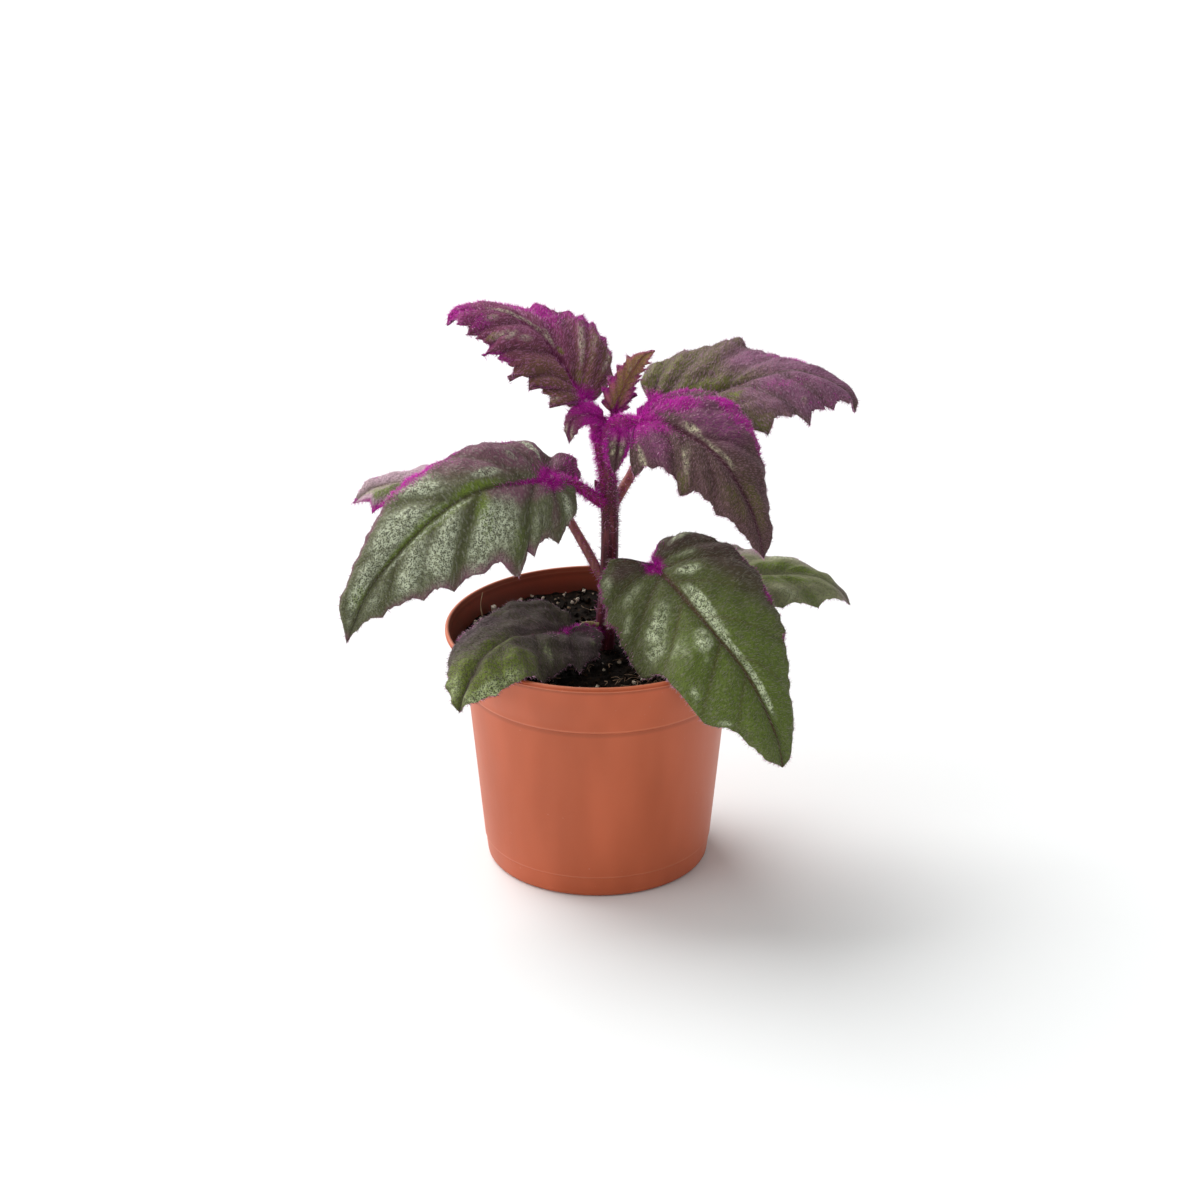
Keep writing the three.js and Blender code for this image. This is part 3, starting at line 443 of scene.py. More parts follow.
                (0.75, 1.05, 0.3, 0.25, 0.8)],
            "second right": [(0.14, 0.4, 0.11, 0.5, 1), (0.25, 0.2, 0.06, 0.2, 0.6)],
        },
        "tones": {
            "ground": (0.11, 0.125, 0.04), "second": (0.088, 0.052, 0.042),
            "green": (0.118, 0.162, 0.024), "silver": (0.6, 0.66, 0.42), "vein": (0.1, 0.04, 0.025),
            "under": (0.12, 0.03, 0.08), "haze": (0.34, 0.31, 0.24), "strokes": 0.22},
        "stalk": ((0.1, 0.012, 0.06), (0.2, 0.03, 0.1)),
    },
    "leaf_lower_right_back": {
        "slot": "leaf_silver_green", "radius": 2, "face": (0.1, -0.3, 1),
        "petiole": [(5.5, 2, 100.5), (26.5, 9, 107), (36.5, 12, 107)],
        "rib": [(36.5, 12, 107), (56, 15, 111), (86, 15, 111), (94, 15, 106.5), (100, 15, 99.5)],
        "left": [
            (36.5, 15, 109), (38, 22, 113), (43, 28, 116.5), (52, 30, 118.5), (60.5, 31, 115),
            (69.5, 30, 113), (78.5, 27, 113), (98, 16, 103.5)],
        "left_teeth": [(0.13, 1.9), (0.26, 0.8), (0.44, 0.8), (0.65, 0.8), (0.86, 0.8)],
        "right": [
            (36.5, 10, 106), (40.5, 6, 103), (48, 3, 101.5), (58, 2, 102.5), (73.5, 3, 105.5),
            (81.5, 5, 104.5), (95, 12, 103.5)],
        "right_teeth": [(0.14, 1.5), (0.29, 1.5), (0.54, 2.4), (0.74, 3), (0.91, 1)],
        "fuzz": 4, "rib_band": 0.7, "haze": 0.05,
        "patches": {
            "green right": [(0.72, 0.8, 0.05, 0.25, 0.7)],
            "green both": [(0.66, 0.28, 0.2, 0.2, 0.9)],
            "silver left": [(0.62, 0.7, 0.1, 0.2, 0.8)],
            "silver right": [(0.66, 0.75, 0.15, 0.3, 0.6)],
            "silver both": [(0.6, 0.04, 0.3, 0.06, 1)],
            "second left": [(0.6, 1, 0.5, 0.35, 0.9)],
            "second both": [(1, 0.5, 0.12, 2, 0.9)],
        },
        "tones": {
            "ground": (0.25, 0.26, 0.125), "second": (0.36, 0.29, 0.26),
            "green": (0.143, 0.195, 0.0286), "silver": (0.494, 0.52, 0.312), "vein": (0.32, 0.34, 0.18),
            "under": (0.12, 0.04, 0.08), "haze": (0.3, 0.24, 0.24), "strokes": 0.25},
        "stalk": ((0.12, 0.03, 0.05), (0.22, 0.08, 0.06)),
    },
    "leaf_lower_left_front": {
        "slot": "leaf_silver_green", "radius": 1.7, "face": (-0.2, -0.2, 1),
        "petiole": [(1.5, -2, 94.5), (-3, -6, 98), (-12, -12, 99.5)],
        "rib": [
            (-12, -12, 99.5), (-22, -22, 103.5), (-33, -32, 105.5), (-41, -41, 104.5), (-47.5, -49, 98),
            (-52.5, -54, 85)],
        "left": [
            (-9, -13, 99), (-3.5, -13, 102), (1, -16, 99), (0, -21, 95), (-5, -27, 93),
            (-12, -34, 95.5), (-17.5, -43, 95), (-22.5, -50, 98.5), (-28.5, -54, 98.8),
            (-41.5, -57, 93), (-48.5, -56, 89.5)],
        "left_teeth": [
            (0.12, 1.5), (0.22, 1.2), (0.33, 4), (0.43, 0.8), (0.6, 4), (0.7, 0.8), (0.81, 1.6),
            (0.89, 0.8)],
        "right": [
            (-11.5, -9, 100), (-12.5, -6, 104), (-23.5, 0, 106.5), (-37, -2, 105), (-48, -13, 101),
            (-53, -22, 100), (-56.5, -34, 96), (-55.5, -51, 88)],
        "right_teeth": [
            (0.06, 0.8), (0.16, 0.8), (0.26, 0.8), (0.35, 0.8), (0.44, 1.3), (0.58, 1.1), (0.8, 0.8)],
        "fuzz": 2, "rib_fuzz": 0.3, "rim_fuzz": 0.2, "rim_plain": 0.6, "haze": 1, "crinkle": 1.9,
        "bright": 0.55,
        "patches": {
            "magenta left": [(0.38, 0.16, 0.09, 0.16, 0.4), (0.12, 0.5, 0.08, 0.6, 0.35)],
            "magenta right": [(0.6, 1, 0.16, 0.1, 0.4)],
            "green left": [(0.82, 0.7, 0.24, 0.6, 1)],
            "green right": [(0.88, 0.5, 0.16, 1, 0.9), (0.42, 0.75, 0.06, 0.25, 0.5)],
            "green both": [(0.7, 0.08, 0.15, 0.2, 0.7)],
            "silver left": [
                (0.82, 0.88, 0.14, 0.25, 1), (0.52, 0.6, 0.06, 0.3, 0.7), (0.93, 0.4, 0.05, 0.5, 0.8),
                (0.2, 0.75, 0.05, 0.2, 0.5)],
            "silver right": [(0.9, 0.5, 0.08, 0.5, 0.6)],
            "second left": [(0.22, 0.6, 0.2, 0.9, 1)],
            "second right": [(0.55, 0.9, 0.2, 0.4, 0.9), (0.15, 1, 0.15, 0.15, 0.7)],
            "second both": [(0.5, 0.05, 0.3, 0.2, 0.6)],
        },
        "tones": {
            "ground": (0.075, 0.066, 0.038), "second": (0.075, 0.052, 0.05),
            "green": (0.15, 0.19, 0.028), "silver": (0.4, 0.46, 0.22), "vein": (0.08, 0.06, 0.04),
            "under": (0.12, 0.04, 0.09), "haze": (0.17, 0.12, 0.12), "strokes": 0.45},
        "stalk": ((0.12, 0.02, 0.08), (0.22, 0.05, 0.12)),
    },
}

# What a leaf has unless its own entry says otherwise: the taper of the teeth, the crinkles, the
# width of the rib's own colour, the magenta fuzz on the rib and on the margin, the share of plain
# hairs on the margin, how bright the fuzz is, and no painted highlight beside the rib.
USUAL = {
    "tooth_power": 1.4, "crinkle": 1, "rib_band": 0.8, "rib_fuzz": 1, "rim_fuzz": 1.1,
    "rim_plain": 0, "bright": 1.2, "streaks": (),
}


def measure(name, note, millimetres, precision=4, **limits):
    """A length for the sidebar."""
    return FloatProperty(name=name, description=note, default=millimetres * MM,
                         unit="LENGTH", precision=precision, **limits)


def number(name, note, usual):
    """A number of pieces for the sidebar."""
    return IntProperty(name=name, description=note, default=usual, min=0)


def tint(name, note, colour):
    """A colour for the sidebar."""
    return FloatVectorProperty(name=name, description=note, default=colour,
                               subtype="COLOR", min=0, max=1)


class PotSizes(bpy.types.PropertyGroup):
    """The nursery pot."""

    wall: measure("Wall", "Thickness of the moulded wall", 1.1, min=0.4 * MM)
    lip_height: measure("Lip height", "Height of the turned-out lip", 1.9)
    lip_width: measure("Lip width", "Width of the lip seen from above", 1.6)
    collar_bottom: measure("Collar bottom", "Height of the step under the collar", 75.25)
    line_height: measure("Mould line", "Height of the faint mould line above the foot", 9)
    sides: IntProperty(name="Sides", description="Facets round the pot", default=192, min=24)
    colour: tint("Plastic", "Colour of the plastic", (0.51, 0.1, 0.03))


class SoilSizes(bpy.types.PropertyGroup):
    """The potting mix."""

    lumps: measure("Lumps", "Height of the lumps on the soil", 1.5)
    crumbs: number("Crumbs", "Loose crumbs on the soil", 900)
    fibres: number("Fibres", "Loose fibres on the soil", 110)
    grains: number("Small grains", "Small white grains", 90)
    colour: tint("Peat", "Colour of the damp peat", (0.009, 0.0055, 0.0035))


class StemSizes(bpy.types.PropertyGroup):
    """The main stem."""

    base_radius: measure("Foot radius", "Radius of the stem at the soil", 3.8)
    top_radius: measure("Top radius", "Radius of the stem at the top", 3.25)
    colour: tint("Skin", "Colour of the stem's skin", (0.07, 0.011, 0.016))
    light: tint("Streaks", "Colour of the paler streaks in the skin", (0.2, 0.04, 0.045))


class LeafSizes(bpy.types.PropertyGroup):
    """The nine leaves."""

    thickness: measure("Thickness", "Thickness of the blade in its middle", 0.55)
    quilting: measure("Quilting", "How far the blade bulges between its veins", 2.0)
    vein_depth: measure("Vein depth", "How deep the veins are sunk in the upper side", 0.35)
    row: measure("Row", "Distance between the rows of the leaf net", 0.8)
    column: measure("Column", "Distance between the columns of the leaf net", 1.0)
    magenta: tint("Fuzz colour", "Colour under the densest fuzz", (0.42, 0.004, 0.28))


class FuzzSizes(bpy.types.PropertyGroup):
    """The hairs."""

    length: measure("Length", "Usual length of a hair", 1.9)
    width: measure("Width", "Width of a hair at its root", 0.2, precision=5)
    density: FloatProperty(
        name="Density", description="Scales the number of hairs everywhere", default=1, min=0)
    magenta: tint("Magenta", "Colour of the bright hairs", (0.72, 0.01, 0.52))
    violet: tint("Violet", "Colour of the dark hairs", (0.34, 0.05, 0.17))
    pale: tint("Pale", "Colour of the pale hairs", (0.8, 0.42, 0.62))


class StudioSizes(bpy.types.PropertyGroup):
    """The floor, the lights and the camera."""

    key: FloatProperty(name="Key", description="Strength of the soft key light", default=3.1)
    fill: FloatProperty(name="Fill", description="Strength of the left fill light", default=1.02)
    sky: FloatProperty(name="Surround", description="Strength of the pale surround", default=0.45)


GROUPS = {
    "plant_pot": PotSizes,
    "plant_soil": SoilSizes,
    "plant_stem": StemSizes,
    "plant_leaves": LeafSizes,
    "plant_fuzz": FuzzSizes,
    "plant_studio": StudioSizes,
}


class Tone:
    """A socket in a material's node tree that can be used in sums like a number."""

    def __init__(self, paint, socket):
        self.paint = paint
        self.socket = socket

    def __add__(self, other):
        return self.paint.math("ADD", self, other)

    def __sub__(self, other):
        return self.paint.math("SUBTRACT", self, other)

    def __rsub__(self, other):
        return self.paint.math("SUBTRACT", other, self)

    def __mul__(self, other):
        return self.paint.math("MULTIPLY", self, other)

    def __abs__(self):
        return self.paint.math("ABSOLUTE", self)

    __radd__ = __add__
    __rmul__ = __mul__

    def clamped(self):
        """Kept between 0 and 1."""
        return self.paint.math("ADD", self, 0, clamp=True)

    def step(self, low, high):
        """0 below low, 1 above high, smooth between."""
        settings = {"interpolation_type": "SMOOTHSTEP"}
        return self.paint.node("ShaderNodeMapRange", settings, {0: self, 1: low, 2: high})


class Paint:
    """The node tree of one material."""

    def __init__(self, name):
        self.material = bpy.data.materials.new(name)
        self.material.use_nodes = True
        self.tree = self.material.node_tree
        self.tree.nodes.clear()

    def node(self, kind, settings=None, inputs=None, output=0):
        """Adds a node, with its settings and then its sockets' values or links."""
        made = self.tree.nodes.new(kind)
        for key, value in (settings or {}).items():
            setattr(made, key, value)
        for key, value in (inputs or {}).items():
            if isinstance(value, Tone):
                self.tree.links.new(value.socket, made.inputs[key])
            else:
                made.inputs[key].default_value = value
        return None if output is None else Tone(self, made.outputs[output])

    def other(self, tone, output):
        """Another output of the node that a tone comes from."""
        return Tone(self, tone.socket.node.outputs[output])

    def math(self, operation, *values, clamp=False):
        settings = {"operation": operation, "use_clamp": clamp}
        return self.node("ShaderNodeMath", settings, dict(enumerate(values)))

    def vector(self, operation, *values, output=0):
        settings = {"operation": operation}
        return self.node("ShaderNodeVectorMath", settings, dict(enumerate(values)), output)

    def attribute(self, name, output="Fac"):
        return self.node("ShaderNodeAttribute", {"attribute_name": name}, output=output)

    def blend(self, share, low, high):
        """A colour between two colours."""
        low, high = (c if isinstance(c, Tone) else (*c, 1)[:4] for c in (low, high))
        settings = {"data_type": "RGBA", "clamp_factor": True}
        return self.node("ShaderNodeMix", settings, {0: share, 6: low, 7: high}, output=2)

    def place(self, scale=(1, 1, 1)):
        """The place on the object, in metres, scaled along each axis."""
        return self.vector("MULTIPLY", self.node("ShaderNodeTexCoord", output="Object"), scale)

    def grain(self, size, detail=3.0, vector=None, roughness=0.55):
        """Cloudy noise from 0 to 1 whose largest blobs measure size metres."""
        inputs = {"Scale": 1 / size, "Detail": detail, "Roughness": roughness}
        inputs["Vector"] = vector or self.place()
        return self.node("ShaderNodeTexNoise", inputs=inputs)

    def cells(self, size, vector=None, flat=False):
        """Distance to the nearest of many scattered points."""
        settings = {"voronoi_dimensions": "2D" if flat else "3D"}
        inputs = {"Scale": 1 / size, "Vector": vector or self.place()}
        return self.node("ShaderNodeTexVoronoi", settings, inputs, "Distance")

    def bump(self, height, depth, strength=1.0):
        inputs = {"Strength": strength, "Distance": depth, "Height": height}
        return self.node("ShaderNodeBump", inputs=inputs, output="Normal")

    def skin(self, colour, roughness, normal=None, **constants):
        """The surface itself. The constants are sockets that are the same all over."""
        inputs = {"Base Color": colour, "Roughness": roughness}
        inputs.update({key.replace("_", " "): value for key, value in constants.items()})
        if normal is not None:
            inputs["Normal"] = normal
        surface = self.node("ShaderNodeBsdfPrincipled", inputs=inputs)
        self.node("ShaderNodeOutputMaterial", inputs={"Surface": surface}, output=None)
        return self.material


def unit(vectors):
    """The same directions with a length of 1."""
    return vectors / np.maximum(np.linalg.norm(vectors, axis=-1, keepdims=True), 1e-12)


def bell(distance, reach, power=2):
    """1 at no distance, falling off smoothly past the reach."""
    return np.exp(-((distance / reach) ** power))


class Line:
    """A smooth line through a few points, read by the share of its length."""

    SAMPLES = 40

    def __init__(self, points):
        given = np.array(points, float)
        ends = np.vstack([2 * given[0] - given[1], given, 2 * given[-1] - given[-2]])
        t = np.linspace(0, 1, self.SAMPLES, endpoint=False)[:, None]
        parts = []
        for before, start, end, after in zip(ends, ends[1:], ends[2:], ends[3:]):
            d0, d1, d2 = (max(np.linalg.norm(b - a) ** 0.5, 1e-6)
                          for a, b in ((before, start), (start, end), (end, after)))
            leaving = (start - before) / d0 - (end - before) / (d0 + d1) + (end - start) / d1
            arriving = (end - start) / d1 - (after - start) / (d1 + d2) + (after - end) / d2
            parts.append(
                (2 * t**3 - 3 * t**2 + 1) * start + (t**3 - 2 * t**2 + t) * leaving * d1
                + (3 * t**2 - 2 * t**3) * end + (t**3 - t**2) * arriving * d1)
        self.points = np.vstack([*parts, given[-1:]])
        lengths = np.linalg.norm(np.diff(self.points, axis=0), axis=1)
        self.length = lengths.sum()
        self.shares = np.concatenate([[0], np.cumsum(lengths)]) / self.length

    def at(self, share):
        share = np.clip(share, 0, 1)
        return np.stack([np.interp(share, self.shares, axis) for axis in self.points.T], axis=-1)

    def direction(self, share):
        share = np.clip(share, 0.001, 0.999)
        return unit(self.at(share + 0.001) - self.at(share - 0.001))


def mesh_piece(name, points, faces, materials, slots=None, attributes=None):
    """Makes a smooth-shaded mesh object from points in millimetres."""
    mesh = bpy.data.meshes.new(name)
    mesh.from_pydata((np.asarray(points, float) * MM).tolist(), [], faces)
    for material in materials:
        mesh.materials.append(material)
    if slots is not None:
        mesh.polygons.foreach_set("material_index", np.asarray(slots, np.int32))
    mesh.polygons.foreach_set("use_smooth", np.ones(len(mesh.polygons), bool))
    for key, (kind, values) in (attributes or {}).items():
        layer = mesh.attributes.new(key, kind, "POINT")
        prop = {"FLOAT_COLOR": "color", "FLOAT_VECTOR": "vector"}.get(kind, "value")
        layer.data.foreach_set(prop, np.asarray(values, np.float32).ravel())
    mesh.update()
    piece = bpy.data.objects.new(name, mesh)
    bpy.context.scene.collection.objects.link(piece)
    return piece


def seat(piece, slot, *nodes):
    """Joins a piece to the frame: its body and the nodes that it stands for. Its finish, the slot, is
    not used.
    """
    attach(piece, ROOT)
    if nodes:
        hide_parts(*nodes)


def shade_by_angle(piece, degrees):
    """Smooth faces with crisp corners sharper than an angle."""
    piece.data.polygons.foreach_set("use_smooth", np.ones(len(piece.data.polygons), bool))
    piece.data.set_sharp_from_angle(angle=math.radians(degrees))


def grid_faces(index, closed_rows=False):
    """Quads over a grid of point numbers. Corners that fall together make a triangle."""
    faces = []
    rows, columns = index.shape
    for i in range(rows if closed_rows else rows - 1):
        upper, lower = index[i], index[(i + 1) % rows]
        for k in range(columns - 1):
            corners = []
            for corner in (upper[k], lower[k], lower[k + 1], upper[k + 1]):
                if corner not in corners:
                    corners.append(int(corner))
            if len(corners) > 2:
                faces.append(corners)
    return faces


def split_faces(faces):
    """The triangles of all faces, as an array of point numbers."""
    return np.array([(face[0], *pair) for face in faces for pair in zip(face[1:], face[2:])])


def revolve(profile, sides):
    """Points and faces of a closed body turned round the Z axis from (radius, height) pairs."""
    points = [(0, 0, profile[0][1])]
    index = np.zeros((sides, len(profile)), int)
    angles = np.arange(sides) * 2 * math.pi / sides
    for k, (radius, height) in enumerate(profile[1:-1], start=1):
        index[:, k] = len(points) + np.arange(sides)
        points += [(radius * math.cos(a), radius * math.sin(a), height) for a in angles]
    points.append((0, 0, profile[-1][1]))
    index[:, -1] = len(points) - 1
    return points, grid_faces(index, closed_rows=True)


def rounded(corners, steps=4):
    """Replaces each (radius, height, rounding) corner of a profile by a short curve."""
    profile = []
    for i, (r, z, rounding) in enumerate(corners):
        here = np.array((r, z), float)
        if not rounding:
            profile.append(tuple(here))
            continue
        before = unit(np.array(corners[i - 1][:2]) - here) * rounding
        after = unit(np.array(corners[i + 1][:2]) - here) * rounding
        for t in np.linspace(0, 1, steps + 1):
            profile.append(tuple(here + before * (1 - t) ** 2 + after * t**2))
    return profile


def tube(line, radius, sides, rings, wave=None):
    """Points, faces, outward directions and places of a round body along a line."""
    shares = np.linspace(0, 1, rings)
    centres, forward = line.at(shares), line.direction(shares)
    across = unit(np.cross(forward[0], (0.3, 1, 0.2)))
    points, outward, places = [], [], []
    angles = np.arange(sides) * 2 * math.pi / sides
    index = np.zeros((rings, sides + 1), int)
    for i, share in enumerate(shares):
        across = unit(across - forward[i] * np.dot(across, forward[i]))
        other = np.cross(forward[i], across)
        ring = np.outer(np.cos(angles), across) + np.outer(np.sin(angles), other)
        size = radius(share) * (1 if wave is None else wave(angles, share))
        index[i] = len(points) + np.append(np.arange(sides), 0)
        points.extend(centres[i] + ring * np.reshape(size, (-1, 1)))
        outward.extend(ring)
        places.extend([share] * sides)
    faces = [face[::-1] for face in grid_faces(index)]
    for end, way in ((0, -1), (-1, 1)):
        middle = len(points)
        points.append(centres[end])
        outward.append(forward[0] * way)
        places.append(shares[end])
        for pair in zip(index[end], index[end][1:]):
            faces.append([middle, *(int(corner) for corner in pair[::way])])
    return np.array(points), faces, np.array(outward), np.array(places)


def ribbed(ridges, depth):
    """Long ridges round a stem."""
    return lambda angles, share: 1 + depth * np.sin(angles * ridges + 3 * share)


def ripple(points, size, seed, waves=7):
    """Smooth hills and hollows from about -1 to 1, about size apart."""
    rng = np.random.default_rng(seed)
    total = np.zeros(len(points))
    for _ in range(waves):
        way = unit(rng.normal(size=3)) * 2 * math.pi / (size * rng.uniform(0.75, 1.4))
        total += np.sin(points @ way + rng.uniform(0, 2 * math.pi))
    return total / math.sqrt(waves)


def merge(parts):
    """Joins (points, faces) parts into one."""
    points, faces, start = [], [], 0
    for some, more in parts:
        points.append(np.asarray(some, float))
        faces += [[corner + start for corner in face] for face in more]
        start += len(some)
    return np.vstack(points), faces


@cache
def ball(detail):
    """An icosahedron split detail times, as points and triangles."""
    golden = (1 + math.sqrt(5)) / 2
    points = [(-1, golden, 0), (1, golden, 0), (-1, -golden, 0), (1, -golden, 0),
              (0, -1, golden), (0, 1, golden), (0, -1, -golden), (0, 1, -golden),
              (golden, 0, -1), (golden, 0, 1), (-golden, 0, -1), (-golden, 0, 1)]
    faces = [(0, 11, 5), (0, 5, 1), (0, 1, 7), (0, 7, 10), (0, 10, 11), (1, 5, 9), (5, 11, 4),
             (11, 10, 2), (10, 7, 6), (7, 1, 8), (3, 9, 4), (3, 4, 2), (3, 2, 6), (3, 6, 8),
             (3, 8, 9), (4, 9, 5), (2, 4, 11), (6, 2, 10), (8, 6, 7), (9, 8, 1)]
    points = [unit(np.array(point, float)) for point in points]
    for _ in range(detail):
        middles, finer = {}, []
        for a, b, c in faces:
            new = []
            for pair in ((a, b), (b, c), (c, a)):
                key = tuple(sorted(pair))
                if key not in middles:
                    middles[key] = len(points)
                    points.append(unit(points[pair[0]] + points[pair[1]]))
                new.append(middles[key])
            finer += [(a, new[0], new[2]), (b, new[1], new[0]), (c, new[2], new[1]), tuple(new)]
        faces = finer
    return np.array(points), [list(face) for face in faces]


def lump(radius, rng, detail, roughness):
    """A crumb: a ball of triangles pushed in and out."""
    points, faces = ball(detail)
    stretch = rng.uniform(0.7, 1.15, 3)
    bumps = 1 + roughness * ripple(points, 1.1, int(rng.integers(1 << 30)))
    turn = np.linalg.qr(rng.normal(size=(3, 3)))[0]
    if np.linalg.det(turn) < 0:
        turn = -turn
    return (points * bumps[:, None] * stretch * radius) @ turn.T, faces


def nearest(points, targets, batch=2000):
    """Distance from each point to the nearest target, and which target that is."""
    best = np.zeros(len(points))
    which = np.zeros(len(points), int)
    for start in range(0, len(points), batch):
        some = slice(start, start + batch)
        gaps = np.linalg.norm(points[some, None] - targets[None], axis=2)
        which[some] = gaps.argmin(1)
        best[some] = gaps.min(1)
    return best, which


def tooth_height(teeth, along, power):
    """How far the margin stands out, from the teeth's places and heights."""
    height = np.zeros_like(along)
    notches = [first + (second - first) * size / (size + other)
               for (first, size), (second, other) in zip(teeth, teeth[1:])]
    starts = [max(teeth[0][0] - 0.06, 0), *notches]
    ends = [*notches, min(teeth[-1][0] + 0.04, 0.99)]
    for (at, size), before, after in zip(teeth, starts, ends):
        rising = np.clip((along - before) / (at - before), 0, 1)
        falling = np.clip((after - along) / (after - at), 0, 1)
        height += size * np.where(along < at, rising, falling) ** power
    return height


def with_small_teeth(teeth):
    """Adds a small tooth in each wide gap between the given ones."""
    full = list(teeth)
    for (before, low), (after, high) in zip(teeth, teeth[1:]):
        if after - before > SMALL_GAP:
            full.append((before + 0.56 * (after - before), 0.35 + 0.12 * min(low, high, 4)))
    return sorted(full)


def side_veins(teeth):
    """Where side veins meet the margin, and how deep they are: at the larger teeth, with the
    gaps filled by fainter ones."""
    chosen = []
    for at, size in sorted(teeth, key=lambda tooth: -tooth[1]):
        if size >= VEIN_TOOTH and all(abs(at - other) > VEIN_GAP for other, _ in chosen):
            chosen.append((at, min(1, 0.55 + 0.1 * size)))
    edges = [0, *sorted(at for at, _ in chosen), 0.97]
    for low, high in zip(edges, edges[1:]):
        extra = int((high - low) / WIDEST_GAP)
        chosen += [(at, FAINT_VEIN) for at in np.linspace(low, high, extra + 2)[1:-1]]
    return sorted(chosen)


class Blade:
    """The net of one leaf blade, its skins and the coats on them."""

    def __init__(self, leaf, sizes):
        self.leaf = {**USUAL, **leaf}
        self.sizes = sizes
        self.rib = Line(leaf["rib"])
        self.margins = {side: Line([*leaf[side], leaf["rib"][-1]]) for side in SIDES}
        self.teeth = {side: with_small_teeth(leaf[side + "_teeth"]) for side in SIDES}
        self.face = unit(np.array(leaf["face"], float))
        self.scale = min(1.0, self.rib.length / 80)
        self.lay_net()
        self.find_veins()
        self.shape()
        self.coat()

    def tooth(self, side, along):
        """Height of the teeth on one margin."""
        return tooth_height(self.teeth[side], along, self.leaf["tooth_power"])

    def net(self, side, along, out):
        """Places on the blade: along the margin from foot to tip, out from rib to margin."""
        share = np.clip((along - FAN) / (1 - FAN), 0, 1)
        start, forward = self.rib.at(share), self.rib.direction(share)
        edge, edgeway = self.margins[side].at(along), self.margins[side].direction(along)
        across = edge - start
        span = np.linalg.norm(across, axis=-1)
        outward = unit(across - edgeway * (across * edgeway).sum(-1)[..., None])
        tooth = self.tooth(side, along)[..., None]
        edge = edge + outward * tooth + edgeway * tooth * TOOTH_LEAN
        up = unit(self.face - forward * (forward @ self.face)[..., None])
        arch = 4 * out * (1 - out) * np.clip((1 - along) / 0.08, 0, 1)
        return (start * (1 - out)[..., None] + edge * out[..., None]
                - forward * (VEIN_SWEEP * span * out * (1 - out))[..., None]
                + up * (CAMBER * span * arch)[..., None])

    def side_vein(self, side, at):
        """A side vein, slanting forward on its way from the rib to the margin."""
        slant = VEIN_FORWARD * min(1, max(0, (at - FAN) / 0.2))
        return self.net(side, at - slant * (1 - VEIN_STEPS), VEIN_STEPS)

    def widest(self):
        """The widest of a few spans from the rib to a margin."""
        rows = np.linspace(0, 1, 9)
        rib, margin = np.zeros_like(rows), np.ones_like(rows)
        spans = [self.net(side, rows, margin) - self.net(side, rows, rib) for side in SIDES]
        return max(np.linalg.norm(span, axis=1).max() for span in spans)

    def lay_net(self):
        """Rows from the foot to the tip, with one at each tooth, and columns out to the margins."""
        fine = max(self.scale, 0.5)
        longest = max(margin.length for margin in self.margins.values())
        rows = np.linspace(0, 1, int(longest / (self.sizes.row / MM * fine)) + 2)
        for side in SIDES:
            for at, _ in self.teeth[side]:
                rows[1 + np.abs(rows[1:-1] - at).argmin()] = at
        rows = np.unique(rows)
        columns = max(6, int(self.widest() / (self.sizes.column / MM * fine)))
        out = np.linspace(0, 1, columns + 1)[1:]
        last = len(rows) - 1
        fan_rows = int((rows <= FAN).sum())
        rib_index = np.maximum(np.arange(last + 1) - fan_rows + 1, 0)
        rib_rows = rows[fan_rows - 1:]
        count = len(rib_rows)
        nothing = np.zeros(count)
        points = [self.net("left", rib_rows, nothing)]
        sides, along, outs = [nothing], [rib_rows], [nothing]
        self.faces = []
        self.edges = {}
        for side, sign in SIDES.items():
            grid_along, grid_out = np.meshgrid(rows[:-1], out, indexing="ij")
            points.append(self.net(side, grid_along, grid_out).reshape(-1, 3))
            along.append(grid_along.ravel())
            outs.append(grid_out.ravel())
            sides.append(np.full(grid_along.size, float(sign)))
            index = np.full((last + 1, columns + 1), rib_index[-1])
            index[:, 0] = rib_index
            index[:last, 1:] = count + np.arange(grid_along.size).reshape(last, columns)
            count += grid_along.size
            self.faces += [face[::-sign] for face in grid_faces(index)]
            self.edges[side] = index[:, -1]
        self.points = np.vstack(points)
        self.side, self.along, self.out = (np.concatenate(part) for part in (sides, along, outs))
        self.triangles = split_faces(self.faces)

    def normals(self, points):
        """The way up at each point of the net."""
        a, b, c = (points[self.triangles[:, k]] for k in range(3))
        flat = np.cross(b - a, c - a)
        total = np.zeros_like(points)
        for k in range(3):
            np.add.at(total, self.triangles[:, k], flat)
        return unit(total)

    def find_veins(self):
        """How near each point is to the rib and to a side vein."""
        points = self.points
        rib_line = self.rib.at(np.linspace(0, 1, RIB_SAMPLES))
        self.to_rib, which = nearest(points, rib_line)
        self.rib_share = which / (RIB_SAMPLES - 1)
        reach = PILLOW_REACH * max(self.scale, 0.4)
        line, valley = np.zeros(len(points)), np.zeros(len(points))
        for side, sign in SIDES.items():
            mine = (self.side == sign) | (self.side == 0)
            veins = self.leaf.get(side + "_veins") or side_veins(self.leaf[side + "_teeth"])
            for at, depth in veins:
                gap, which = nearest(points[mine], self.side_vein(side, at))
                taper = 1 - 0.7 * VEIN_STEPS[which]
                line[mine] = np.maximum(line[mine], bell(gap, 0.5) * taper * min(1, 0.3 + depth))
                valley[mine] = np.maximum(valley[mine], depth * bell(gap, reach, 1.8))
        self.hollow = np.maximum(valley, bell(self.to_rib, 1.2))
        self.pillow = 1 - np.maximum(valley, bell(self.to_rib, reach, 1.8))
        self.groove = np.maximum(line, bell(self.to_rib, 0.8) * (1.1 - self.rib_share))
        band = self.leaf["rib_band"] * (1.15 - 0.8 * self.rib_share)
        self.vein = np.maximum(line * 0.7, bell(self.to_rib, band, 4))

